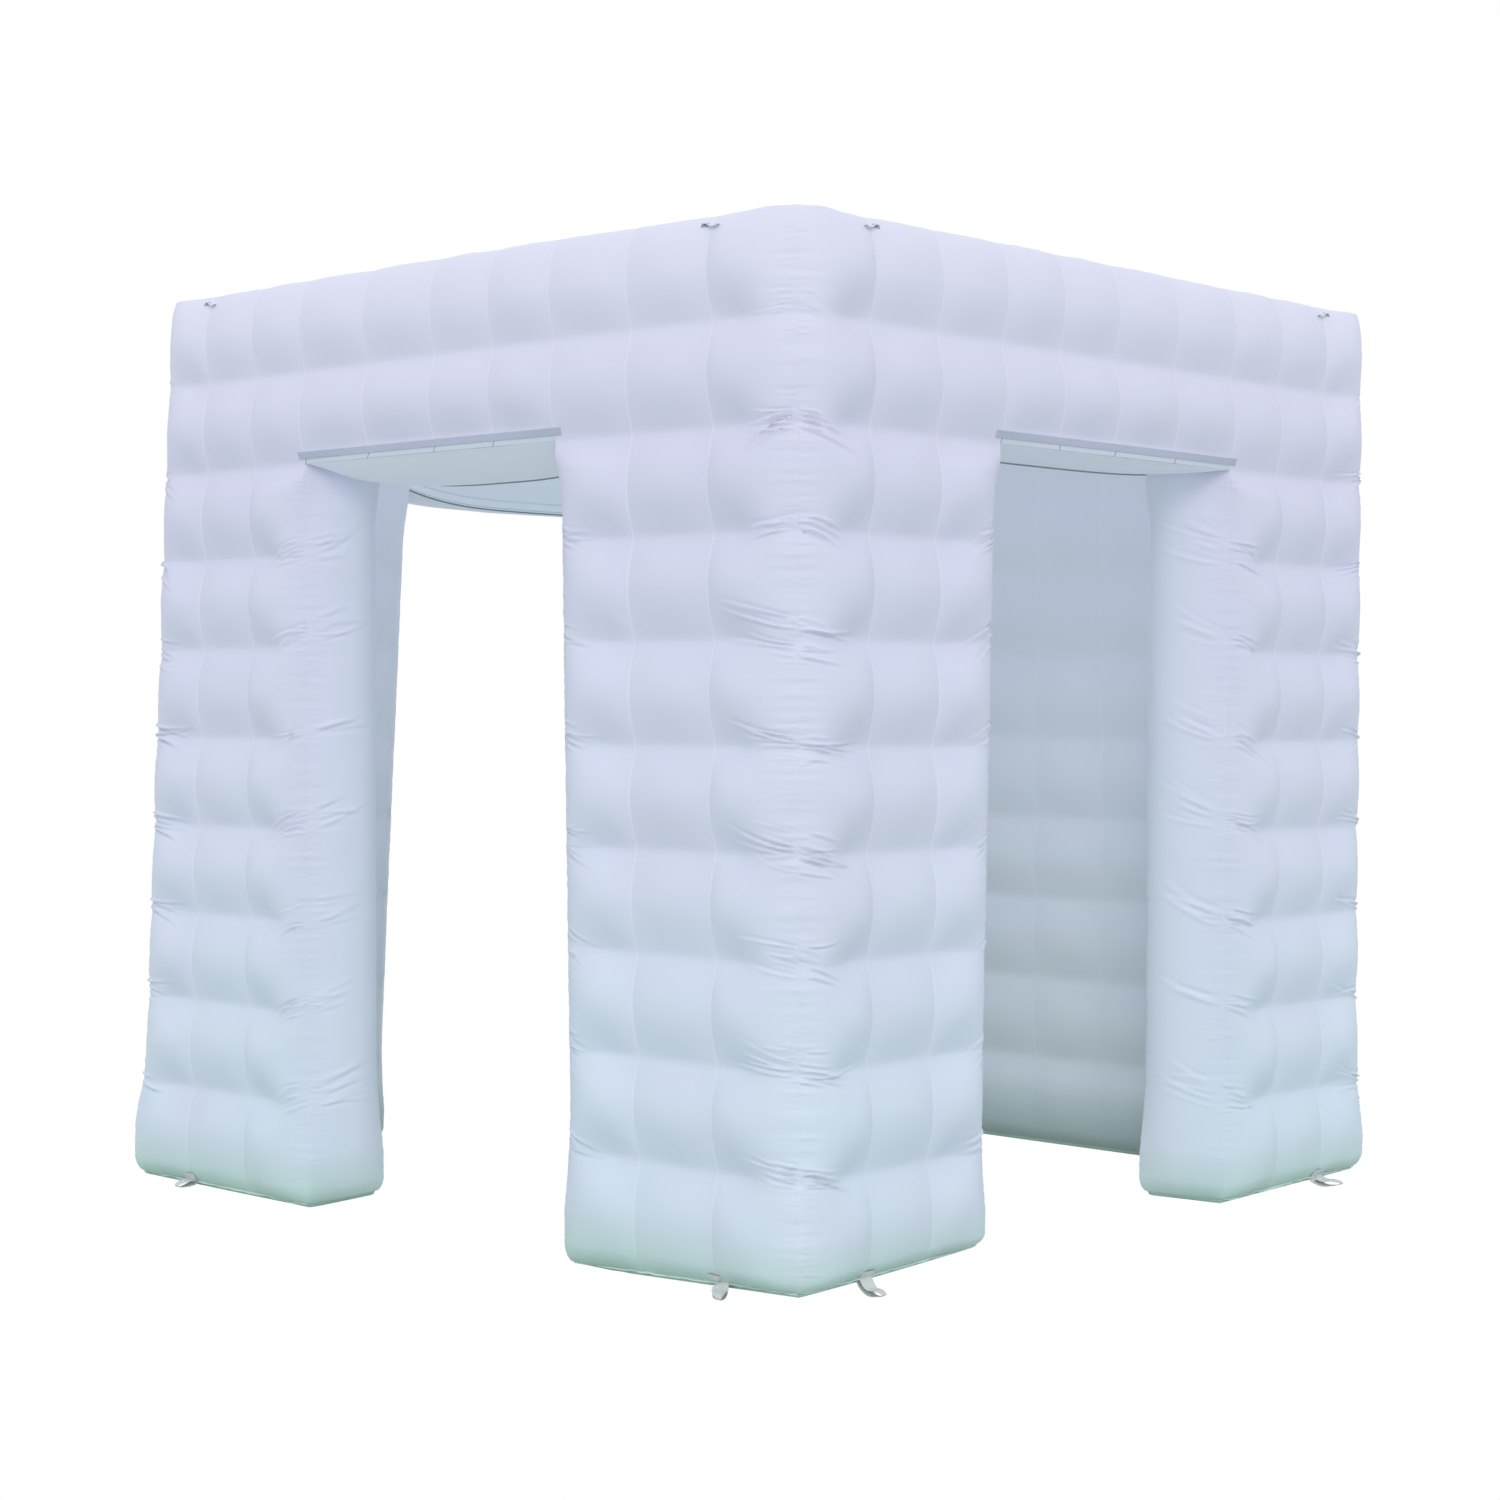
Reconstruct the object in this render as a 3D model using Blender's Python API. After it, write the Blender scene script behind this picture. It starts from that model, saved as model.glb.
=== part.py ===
"""Inflatable photo booth: a cube of quilted air walls with three doorways and a closed back.

Metres, +Z up, the front doorway facing -Y. The origin is on the ground at the middle of the booth.
"""

import math
from dataclasses import dataclass, field

import bmesh
import bpy
from mathutils import Vector

# Grid of sewn cells, seam to seam
CELL = 0.25
CELLS = 10
LEG_CELLS = 3
DOOR_ROWS = 8
SIDE = CELL * CELLS
HEIGHT = CELL * CELLS
WALL = CELL
HALF = SIDE / 2
INNER_HALF = HALF - WALL
INNER_HEIGHT = HEIGHT - WALL
DOOR_HALF = HALF - LEG_CELLS * CELL
DOOR_WIDTH = 2 * DOOR_HALF
DOOR_TOP = DOOR_ROWS * CELL

# Fabric and the clearance between two sewn pieces
FABRIC = 0.0015
GAP = 0.0003

# How far the air pushes the fabric out of the plane of its seams
CROWN = 0.037
CORNER_CROWN = 0.046
SEAM_BOW = 0.023
ROW_BOW = 0.012
CORNER_PULL = 0.016
JAMB_CROWN = 0.040
SOFFIT_CROWN = 0.016
SOFFIT_SAG = 0.036

# Feet: the skins roll under to a seam off the ground, and the base panels bulge down to it
LIFT = 0.035
FOOT = 0.032
FOOT_TUCK = 0.027
BASE_GAP = 0.0006
BASE_SLOPE = 0.070

# Lean of the two front corners and of the left doorway's front post: shift at the foot and at the roof
LEFT_LEAN = (Vector((-0.080, 0.0)), Vector((0.060, 0.010)))
RIGHT_LEAN = (Vector((0.045, -0.005)), Vector((-0.010, 0.030)))
POST_LEAN = (Vector((-0.130, 0.0)), Vector((0.030, 0.0)))

# From the middle of the upright booth's plan to the middle of the leaning one's
PLAN_SHIFT = Vector((0.0348, 0.0058, 0.0))

# Hook-and-loop tape along the lintels
HEM = 0.06
HEM_RISE = 0.003
TAPE_WIDTH = 0.022
TAPE_LOW = 0.0135
TAPE_THICK = 0.0022
TAPE_END = 0.006

# Webbing loops
STRAP = 0.002
STRAP_GAP = 0.0008
LOOP_GAP = 0.001
ANCHOR_WIDTH = 0.046
ANCHOR_TOP = 0.018
ANCHOR_SEWN = 0.014
ANCHOR_OPENING = 0.022
TIE_LEVEL = HEIGHT - 0.022
TIE_WIDTH = 0.012
TIE_THICK = 0.0016
TIE_RAISE = 0.0004
TIE_TAB = ((-0.029, -0.0045), (-0.012, 0.0045))
TIE_PATH = (
    (-0.016, 0.0016), (-0.004, -0.0040), (0.012, -0.0085), (0.026, -0.0095), (0.031, -0.0132),
    (0.027, -0.0172), (0.012, -0.0168), (-0.002, -0.0125), (-0.012, -0.0060), (-0.018, -0.0022),
)

# Internal webs
WEB = 0.0022
ROOF_WEB = 0.0026
WEB_INSET = 0.012
WEB_FOOT = 0.03

# Service panels in the back wall: flat cells counted from the -X corner, in the second row
SERVICE_ROW = 1
BLOWER_COLUMN = 8
ZIP_COLUMNS = (2, 3)
SERVICE_Z = LIFT + (SERVICE_ROW + 0.5) * CELL

# Blower
BLOWER_X = -HALF + (BLOWER_COLUMN + 0.5) * CELL
PORT_RADIUS = 0.093
HOUSING_RADIUS = 0.100
HOUSING_RIM = 0.107
HOUSING_WALL = 0.003
HOUSING_DEPTH = 0.120
PLATE_SIDE = 0.224
PLATE_THICK = 0.004
PLATE_CORNER = 0.020
GRILLE_RADIUS = 0.086
GRILLE_RINGS = (0.030, 0.058)
GRILLE_BAR = 0.004
GRILLE_DEEP = 0.003
IMPELLER_RADIUS = 0.080
IMPELLER_HUB = 0.022
IMPELLER_DEEP = 0.034
BLADES = 11
BLADE_THICK = 0.0018
ROUND_STEPS = 32

# Rocker switch and cord inlet on the corners of the blower's plate
CORNER_REACH = 0.087
SWITCH_POCKET = Vector((0.0145, 0.0205))
SWITCH_BOSS = Vector((0.019, 0.026))
SWITCH_PROUD = 0.006
SWITCH_DEEP = 0.008
ROCKER = Vector((0.0125, 0.0185))
ROCKER_PROUD = 0.0022
ROCKER_TILT = math.radians(8)
INLET_RADIUS = 0.009
INLET_BORE = 0.0042
INLET_PROUD = 0.012

# Deflation zip
ZIP_LENGTH = 0.46
ZIP_TAPE_WIDTH = 0.036
ZIP_TAPE_THICK = 0.0012
ZIP_RIDGE_WIDTH = 0.006
ZIP_RIDGE_PROUD = 0.0024
ZIP_TOOTH_PITCH = 0.010
ZIP_TEETH = 44
SLIDER_LENGTH = 0.020
SLIDER_WIDTH = 0.014
SLIDER_WALL = 0.0022
SLIDER_CLEAR = 0.0006
PULL_LENGTH = 0.040
PULL_WIDTH = 0.011
PULL_THICK = 0.0016
PULL_KNUCKLE = 0.008
PULL_ROUND = 0.0021
PULL_BORE = 0.0013

X, Y, Z = Vector((1, 0, 0)), Vector((0, 1, 0)), Vector((0, 0, 1))


def clear_scene():
    for thing in list(bpy.data.objects):
        bpy.data.objects.remove(thing, do_unlink=True)


def finish(name, colour, roughness, metallic=0.0):
    """One Principled material."""
    material = bpy.data.materials.new(name)
    material.use_nodes = True
    shader = material.node_tree.nodes["Principled BSDF"]
    shader.inputs["Base Color"].default_value = (*colour, 1.0)
    shader.inputs["Roughness"].default_value = roughness
    shader.inputs["Metallic"].default_value = metallic
    return material


def show(name, bm, material, smooth_angle=None):
    """The finished object of a bmesh, its faces turned outwards."""
    bmesh.ops.recalc_face_normals(bm, faces=bm.faces)
    mesh = bpy.data.meshes.new(name)
    bm.to_mesh(mesh)
    bm.free()
    mesh.materials.append(material)
    thing = bpy.data.objects.new(name, mesh)
    bpy.context.scene.collection.objects.link(thing)
    if smooth_angle is not None:
        mesh.shade_smooth()
        mesh.set_sharp_from_angle(angle=smooth_angle)
    return thing


def cutter(name, bm, material):
    """A helper that the render and the build leave out."""
    thing = show(name, bm, material)
    thing.hide_render = True
    thing.display_type = "WIRE"
    return thing


def boolean(thing, operation, *tools):
    for tool in tools:
        modifier = thing.modifiers.new(tool.name, "BOOLEAN")
        modifier.operation = operation
        modifier.object = tool


def share(value, low, high):
    """0 at low, 1 at high, and no further."""
    return min(max((value - low) / (high - low), 0), 1)


def lean(point):
    """Where a point of the upright booth stands once its front corners and its left post lean."""
    level = (point.z - LIFT) / HEIGHT
    across, along = share(abs(point.x), DOOR_HALF, HALF), share(-point.y, DOOR_HALF, HALF)
    foot, roof = LEFT_LEAN if point.x < 0 else RIGHT_LEAN
    shift = foot.lerp(roof, level) * across * along
    post = 1 - along - share(point.y, -DOOR_HALF, DOOR_HALF)
    foot, roof = POST_LEAN
    shift += foot.lerp(roof, level) * post * share(-point.x, DOOR_HALF, INNER_HALF)
    return Vector((point.x + shift.x, point.y + shift.y, point.z))


def stand(bm):
    for vertex in bm.verts:
        vertex.co = lean(vertex.co)


# Quilted panels

def wave(distance):
    """0 on a seam and 1 halfway between two seams."""
    return abs(math.sin(math.pi * distance / CELL))


def quilt(u, v, crown=CROWN):
    """Height of the fabric over its seams' plane, u and v from a crossing of seams."""
    a, b = wave(u), wave(v)
    return ROW_BOW * a * (1 - b) + SEAM_BOW * b * (1 - a) + crown * a * b


def drawn_in(v):
    """How much of its pull a corner shows: none at the ground and the roof, all of it a cell away."""
    return min(share(v, 0, CELL), share(HEIGHT - v, 0, CELL))


@dataclass(frozen=True)
class Edge:
    """How a panel ends: turn 1 goes round an outer corner, -1 into an inner one, 0 lies flush."""

    turn: int = 0
    pull: float = 0.0
    follows: bool = True
    gap: float = GAP
    open: bool = False


OUTER = Edge(turn=1)
CORNER = Edge(turn=1, pull=CORNER_PULL)
HINGE = Edge(turn=1, follows=False)
INNER = Edge(turn=-1)
FOLD = Edge(turn=-1, gap=0.0, open=True)
FLUSH = Edge()
FLOOR = Edge(gap=0.0)
DOOR = "door"


@dataclass
class Panel:
    """A flat pattern of cells, placed by its corner, that height() then inflates."""

    corner: Vector
    across: Vector
    up: Vector
    columns: list
    rows: list
    height: object = quilt
    left: object = FLUSH
    right: object = FLUSH
    bottom: object = FLUSH
    top: object = FLUSH
    peaked: bool = False
    crowns: dict = field(default_factory=dict)
    flat: tuple = ()
    sag: object = None

    @property
    def out(self):
        return self.across.cross(self.up)

    def edges_at(self, u, v):
        """The edges that a point of the pattern lies on, each with its outward direction."""
        found = []
        for edge, on, outward in (
            (self.left, u == self.columns[0], -self.across),
            (self.right, u == self.columns[-1], self.across),
            (self.bottom, v == self.rows[0], -self.up),
            (self.top, v == self.rows[-1], self.up),
        ):
            if on:
                if edge is DOOR:
                    edge = OUTER if v <= DOOR_TOP else FLUSH
                found.append((edge, outward))
        return found

    def rise(self, u, v):
        edges = [edge for edge, _ in self.edges_at(u, v)]
        cell = (int(u / CELL), int(v / CELL))
        if FLOOR in edges:
            return -FOOT_TUCK
        if any(cell == spot for spot in self.flat):
            return 0.0
        turned = [edge for edge in edges if edge.turn and edge.follows]
        if turned:
            return -max(edge.pull for edge in turned) * drawn_in(v)
        if self.height is quilt:
            return quilt(u, v, self.crowns.get(cell[0], CROWN))
        return self.height(u, v)

    def place(self, u, v, layer):
        rise = self.rise(u, v)
        point = self.corner + self.across * u + self.up * v + self.out * rise
        if self.sag:
            point -= self.up * self.sag(u) * (1 - v / self.rows[-1])
        for edge, outward in self.edges_at(u, v):
            if edge.follows:
                point += outward * edge.turn * rise
            point -= outward * (edge.gap + edge.turn * FABRIC * layer)
        return point - self.out * FABRIC * layer


def steps(cells, per_cell, *extra):
    """Positions along a pattern, with a few more where a fold needs them."""
    return sorted({round(CELL * i / per_cell, 6) for i in range(cells * per_cell + 1)} | set(extra))


def lay_pattern(bm, panel):
    """The pattern as two layers of a flat grid: its points hold (u, v, layer)."""
    columns, rows = panel.columns, panel.rows
    made = bmesh.ops.create_grid(bm, x_segments=len(columns) - 1, y_segments=len(rows) - 1, size=0.5)
    face_up = set()
    for vertex in made["verts"]:
        i = round((vertex.co.x + 0.5) * (len(columns) - 1))
        j = round((vertex.co.y + 0.5) * (len(rows) - 1))
        vertex.co = Vector((columns[i], rows[j], 0.0))
        face_up.update(vertex.link_faces)
    swept = bmesh.ops.extrude_face_region(bm, geom=list(face_up))["geom"]
    lower = [part for part in swept if isinstance(part, bmesh.types.BMVert)]
    bmesh.ops.translate(bm, verts=lower, vec=Z)
    points = set(made["verts"]) | set(lower)
    faces = {face for vertex in points for face in vertex.link_faces}
    return points, faces


def crossing(vertex):
    return wave(vertex.co.x) < 0.01 and wave(vertex.co.y) < 0.01


def crest(vertex):
    return wave(vertex.co.x) > 0.99 and wave(vertex.co.y) > 0.99


def inflate(bm, panel):
    """Adds one panel to a bmesh: pattern, cell crowns, then every point to its place."""
    points, faces = lay_pattern(bm, panel)
    sheets = [face for face in faces if abs(face.normal.z) > 0.5]
    if panel.peaked:
        cells = [face for face in sheets if face.calc_area() > CELL * CELL / 2]
        points.update(bmesh.ops.poke(bm, faces=cells)["verts"])
    else:
        for face in sheets:
            low = [vertex for vertex in face.verts if crossing(vertex)]
            high = [vertex for vertex in face.verts if crest(vertex)]
            if low and high:
                bmesh.utils.face_split(face, low[0], high[0])
    for side, edge in ((panel.columns[0], panel.left), (panel.columns[-1], panel.right)):
        if edge is not DOOR and edge.open:
            rim = [f for f in faces if f.is_valid and all(abs(v.co.x - side) < 1e-6 for v in f.verts)]
            bmesh.ops.delete(bm, geom=rim, context="FACES_ONLY")
    for vertex in points:
        vertex.co = panel.place(round(vertex.co.x, 6), round(vertex.co.y, 6), vertex.co.z)


def sewn(name, material, *panels):
    """One piece of fabric made of one panel, or of several folded into each other."""
    bm = bmesh.new()
    for panel in panels:
        part = bmesh.new()
        inflate(part, panel)
        mesh = bpy.data.meshes.new(name)
        part.to_mesh(mesh)
        part.free()
        bm.from_mesh(mesh)
        bpy.data.meshes.remove(mesh)
    bmesh.ops.remove_doubles(bm, verts=bm.verts, dist=1e-5)
    stand(bm)
    return show(name, bm, material)


# The four walls: name, direction along the wall seen from outside, outward direction
WALLS = {"front": (X, -Y), "right": (Y, X), "back": (-X, Y), "left": (-Y, -X)}
DOOR_WALLS = ("front", "right", "left")


def at_outer(wall, along, z=0.0):
    """A point in the plane of a wall's outer seams."""
    across, out = WALLS[wall]
    return across * along + out * HALF + Z * (LIFT + z)


def at_inner(wall, along, z=0.0):
    across, out = WALLS[wall]
    return across * along + out * INNER_HALF + Z * (LIFT + z)


def leg_skins(fabric):
    skins = []
    for wall in DOOR_WALLS:
        across, _ = WALLS[wall]
        leg = dict(
            up=Z, across=across, columns=steps(LEG_CELLS, 2), rows=steps(CELLS, 2, FOOT),
            bottom=FLOOR, top=OUTER,
        )
        near, far = side_names(wall)
        skins.append(sewn(f"skin_{wall}_{near}", fabric, Panel(
            at_outer(wall, -HALF), left=CORNER, right=DOOR, crowns={0: CORNER_CROWN}, **leg,
        )))
        skins.append(sewn(f"skin_{wall}_{far}", fabric, Panel(
            at_outer(wall, DOOR_HALF), left=DOOR, right=CORNER, crowns={LEG_CELLS - 1: CORNER_CROWN}, **leg,
        )))
    return skins


def side_names(wall):
    """The names of a wall's legs, first the one at the start of its direction."""
    return {"front": ("left", "right"), "right": ("front", "back"), "left": ("back", "front")}[wall]


def hem_height(u, v):
    """Lintel: a flat hem for the tape along the bottom, quilted above it."""
    if v <= HEM:
        return HEM_RISE * v / HEM
    return quilt(u, v)


def sag(u):
    """How far the inner edge of a lintel hangs, from one jamb to the other."""
    part = u / DOOR_WIDTH
    return SOFFIT_SAG * 4 * part * (1 - part)


def soffit_height(u, v):
    part = u / DOOR_WIDTH
    ends = math.sqrt(max(4 * part * (1 - part), 0))
    return sag(u) * v / WALL + SOFFIT_CROWN * math.sin(math.pi * v / WALL) * ends


def jamb_height(u, v):
    ends = min(1.0, (DOOR_TOP - v) / (CELL / 2))
    return JAMB_CROWN * math.sin(math.pi * u / WALL) * ends


def lintels(fabric, inner_fabric):
    door_cells = CELLS - 2 * LEG_CELLS
    for wall in DOOR_WALLS:
        across, out = WALLS[wall]
        sewn(f"skin_{wall}_lintel", fabric, Panel(
            at_outer(wall, -DOOR_HALF, DOOR_TOP), across, Z,
            steps(door_cells, 2), steps(CELLS - DOOR_ROWS, 2, HEM),
            height=hem_height, bottom=HINGE, top=OUTER,
        ))
        sewn(f"liner_{wall}_lintel", inner_fabric, Panel(
            at_inner(wall, DOOR_HALF, DOOR_TOP), -across, Z,
            steps(door_cells, 1), steps(CELLS - 1 - DOOR_ROWS, 1),
            bottom=HINGE, top=INNER, peaked=True, sag=sag,
        ))
        sewn(f"soffit_{wall}", inner_fabric, Panel(
            at_outer(wall, DOOR_HALF, DOOR_TOP), -across, -out,
            steps(door_cells, 1), [0.0, WALL / 3, 2 * WALL / 3, WALL],
            height=soffit_height, left=INNER, right=INNER, bottom=HINGE, top=HINGE,
        ))


def jambs(fabric):
    rows = [0.0, FOOT, CELL / 2, DOOR_TOP - CELL / 2, DOOR_TOP]
    columns = [0.0, WALL / 3, 2 * WALL / 3, WALL]
    for wall in DOOR_WALLS:
        _, out = WALLS[wall]
        near, far = side_names(wall)
        shape = dict(up=Z, columns=columns, rows=rows, height=jamb_height, bottom=FLOOR, top=INNER)
        sewn(f"jamb_{wall}_{near}", fabric, Panel(
            at_outer(wall, -DOOR_HALF), -out, left=OUTER, right=OUTER, **shape,
        ))
        sewn(f"jamb_{wall}_{far}", fabric, Panel(
            at_inner(wall, DOOR_HALF), out, left=OUTER, right=OUTER, **shape,
        ))


def liner(wall, start, cells, **ends):
    """A quilted lining panel, its columns running from start against the wall's direction."""
    across, _ = WALLS[wall]
    return Panel(
        at_inner(wall, start), -across, Z, steps(cells, 1), steps(CELLS - 1, 1, FOOT),
        bottom=FLOOR, top=INNER, peaked=True, **ends,
    )


def liners(fabric):
    side = LEG_CELLS - 1
    sewn("liner_front_left", fabric,
         liner("front", -DOOR_HALF, side, left=DOOR, right=FOLD),
         liner("left", INNER_HALF, side, left=FOLD, right=DOOR))
    sewn("liner_front_right", fabric,
         liner("right", -DOOR_HALF, side, left=DOOR, right=FOLD),
         liner("front", INNER_HALF, side, left=FOLD, right=DOOR))
    sewn("liner_back", fabric,
         liner("left", -DOOR_HALF, side, left=DOOR, right=FOLD),
         liner("back", INNER_HALF, CELLS - 2, left=FOLD, right=FOLD),
         liner("right", INNER_HALF, side, left=FOLD, right=DOOR))
    sewn("ceiling", fabric, Panel(
        Vector((INNER_HALF, -INNER_HALF, LIFT + INNER_HEIGHT)), -X, Y,
        steps(CELLS - 2, 1), steps(CELLS - 2, 1),
        left=INNER, right=INNER, bottom=INNER, top=INNER, peaked=True,
    ))


def back_and_roof(fabric):
    flat = tuple((CELLS - 1 - column, SERVICE_ROW) for column in (BLOWER_COLUMN, *ZIP_COLUMNS))
    back = sewn("skin_back", fabric, Panel(
        at_outer("back", -HALF), -X, Z, steps(CELLS, 1), steps(CELLS, 1, FOOT),
        left=CORNER, right=CORNER, bottom=FLOOR, top=OUTER, peaked=True, flat=flat,
    ))
    port = bmesh.new()
    bmesh.ops.create_cone(
        port, cap_ends=True, segments=ROUND_STEPS, radius1=PORT_RADIUS, radius2=PORT_RADIUS, depth=CELL / 2,
    )
    lay_along_y(port, Vector((BLOWER_X, HALF, SERVICE_Z)))
    boolean(back, "DIFFERENCE", cutter("port_cutter", port, fabric))
    sewn("skin_roof", fabric, Panel(
        Vector((-HALF, -HALF, LIFT + HEIGHT)), X, Y, steps(CELLS, 1), steps(CELLS, 1),
        left=OUTER, right=OUTER, bottom=OUTER, top=OUTER, peaked=True,
    ))
    return back


# Flat shapes drawn on a plane and given a thickness

def extruded(bm, outline, along):
    """A closed outline of points, swept along a vector."""
    face = bm.faces.new([bm.verts.new(point) for point in outline])
    swept = bmesh.ops.extrude_face_region(bm, geom=[face])["geom"]
    bmesh.ops.translate(bm, verts=[v for v in swept if isinstance(v, bmesh.types.BMVert)], vec=along)
    return bm


def block(bm, low, high):
    corners = [Vector((low.x, low.y, low.z)), Vector((high.x, low.y, low.z)),
               Vector((high.x, high.y, low.z)), Vector((low.x, high.y, low.z))]
    return extruded(bm, corners, Z * (high.z - low.z))


def shrunk(plan, distance):
    """A plan with square corners, moved inwards all round. Its corners run counterclockwise."""
    moved = []
    for i, corner in enumerate(plan):
        shift = Vector((0, 0))
        for start, end in ((plan[i - 1], corner), (corner, plan[(i + 1) % len(plan)])):
            along = (end - start).normalized()
            shift += Vector((-along.y, along.x)) * distance
        moved.append(corner + shift)
    return moved


def base_panel(name, plan, fabric):
    """A shallow tray: its rim at the level of the feet's seam, its flat bottom on the ground."""
    bm = bmesh.new()
    bottom = bm.faces.new([bm.verts.new((p.x, p.y, 0)) for p in shrunk(plan, BASE_SLOPE)])
    slope = bmesh.ops.extrude_edge_only(bm, edges=bottom.edges)["geom"]
    rim = [part for part in slope if isinstance(part, bmesh.types.BMVert)]
    low = {tuple(round(c, 6) for c in q): p for p, q in zip(plan, shrunk(plan, BASE_SLOPE))}
    for vertex in rim:
        corner = low[(round(vertex.co.x, 6), round(vertex.co.y, 6))]
        vertex.co = Vector((corner.x, corner.y, LIFT))
    bmesh.ops.recalc_face_normals(bm, faces=bm.faces)
    upper = bmesh.ops.extrude_face_region(bm, geom=bm.faces[:])["geom"]
    bmesh.ops.translate(bm, verts=[v for v in upper if isinstance(v, bmesh.types.BMVert)], vec=Z * FABRIC)
    stand(bm)
    show(name, bm, fabric)


def base_panels(fabric):
    """The undersides of the three feet, inside the rolled edge of the skins."""
    inset = FOOT_TUCK + FABRIC + BASE_GAP
    outer, inner, door = HALF - inset, INNER_HALF + inset, DOOR_HALF + inset
    corner = [(door, -outer), (outer, -outer), (outer, -door)]
    corner += [(inner, -door), (inner, -inner), (door, -inner)]
    base_panel("base_front_right", [Vector(p) for p in corner], fabric)
    base_panel("base_front_left", [Vector((-x, y)) for x, y in reversed(corner)], fabric)
    side = [(inner, door), (outer, door), (outer, outer)]
    plan = side + [(-x, y) for x, y in reversed(side)] + [(-inner, inner), (inner, inner)]
    base_panel("base_back", [Vector(p) for p in plan], fabric)


def comb(bar, teeth, thick=WEB):
    """The outline of a bar at height bar with a web through it at each (place, low, high)."""
    half = thick / 2
    lower = [point for place, low, _ in teeth for point in
             ((place - half, bar - half), (place - half, low), (place + half, low), (place + half, bar - half))]
    upper = [point for place, _, high in reversed(teeth) for point in
             ((place + half, bar + half), (place + half, high), (place - half, high), (place - half, bar + half))]
    return lower + upper


def halved(bm):
    """Triangles whose diagonals match on both sides of a web, so that a lean can't make them cross."""
    for face in [f for f in bm.faces if len(f.verts) == 4]:
        corners = list(face.verts)
        low = min(corners, key=lambda v: tuple(round(c, 5) for c in (v.co.z, v.co.x, v.co.y)))
        bmesh.utils.face_split(face, low, corners[(corners.index(low) + 2) % 4])
    bmesh.ops.triangulate(bm, faces=[f for f in bm.faces if len(f.verts) > 4])
    return bm


def seam_places(reach=INNER_HALF):
    count = round(2 * reach / CELL)
    return [-reach + CELL * i for i in range(count + 1)]


def baffles(fabric):
    """Webs at the vertical seams, tied together by one web at the level of the ceiling."""
    top, depth = HEIGHT - WEB_INSET, WALL - 2 * WEB_INSET
    for wall in DOOR_WALLS:
        across, out = WALLS[wall]
        over_door = DOOR_TOP + SOFFIT_SAG / 2
        teeth = [(place, over_door if abs(place) <= DOOR_HALF else WEB_FOOT, top) for place in seam_places()]
        start = out * (INNER_HALF + WEB_INSET) + Z * LIFT
        outline = [start + across * u + Z * z for u, z in comb(INNER_HEIGHT, teeth)]
        bm = halved(extruded(bmesh.new(), outline, out * depth))
        stand(bm)
        show(f"baffle_{wall}", bm, fabric)
    start = Y * (INNER_HALF + WEB_INSET) + Z * LIFT
    teeth = [(place, WEB_FOOT, top) for place in seam_places()]
    outline = [start + X * u + Z * z for u, z in comb(INNER_HEIGHT, teeth)]
    back = show("baffle_back_roof", extruded(bmesh.new(), outline, Y * depth), fabric)
    teeth = [(place, WEB_INSET - INNER_HALF, INNER_HALF + 2 * WEB_INSET) for place in seam_places()]
    low = LIFT + INNER_HEIGHT + WEB_INSET + WEB
    outline = [X * u + Y * v + Z * low for u, v in comb(0.0, teeth, ROOF_WEB)]
    bm = extruded(bmesh.new(), outline, Z * (depth - 2 * WEB))
    stand(bm)
    boolean(back, "UNION", cutter("roof_webs", bm, fabric))


def tapes(material):
    low = DOOR_TOP + TAPE_LOW
    for wall in DOOR_WALLS:
        across, out = WALLS[wall]
        start = at_outer(wall, -DOOR_HALF + TAPE_END, low) + out * (HEM_RISE + GAP)
        front = start + out * TAPE_THICK
        outline = [start, front, front + Z * TAPE_WIDTH, start + Z * TAPE_WIDTH]
        bm = extruded(bmesh.new(), outline, across * (DOOR_WIDTH - 2 * TAPE_END))
        tape = show(f"tape_{wall}", bm, material)
        bevel = tape.modifiers.new("rounded", "BEVEL")
        bevel.width = TAPE_THICK / 4
        bevel.segments = 1


# Webbing loops

def ribbon(path, thick):
    """The outline of a strip of webbing seen from its edge, along a path in a plane."""
    left, right = [], []
    for i, point in enumerate(path):
        before, after = path[max(i - 1, 0)], path[min(i + 1, len(path) - 1)]
        along = (after - before).normalized()
        side = Vector((-along.y, along.x)) * thick / 2
        left.append(point + side)
        right.append(point - side)
    return left + right[::-1]


def strap(outline, across):
    """A ribbon's outline, filled strip by strip and swept to the webbing's width."""
    bm = bmesh.new()
    points = [bm.verts.new(point) for point in outline]
    for i in range(len(points) // 2 - 1):
        bm.faces.new((points[i], points[i + 1], points[-2 - i], points[-1 - i]))
    swept = bmesh.ops.extrude_face_region(bm, geom=bm.faces[:])["geom"]
    bmesh.ops.translate(bm, verts=[v for v in swept if isinstance(v, bmesh.types.BMVert)], vec=across)
    return bm


@dataclass(frozen=True)
class Seat:
    """A place on a wall's seam where webbing is sewn, and the fabric round it."""

    skins: list
    across: Vector
    out: Vector
    origin: Vector

    def at(self, u, depth, z):
        return self.origin + self.across * u + self.out * depth + Z * z

    def surface(self, places, levels):
        """The tallest fabric at each level, over a span of places."""
        return [max(self.cast(u, z) for u in places) for z in levels]

    def cast(self, u, z):
        start = self.at(u, WALL, z)
        found = [skin.ray_cast(start, -self.out, distance=2 * WALL) for skin in self.skins]
        return max((where - self.origin).dot(self.out) for hit, where, _, _ in found if hit)


def grid(low, high, count=9):
    return [low + (high - low) * i / (count - 1) for i in range(count)]


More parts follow.
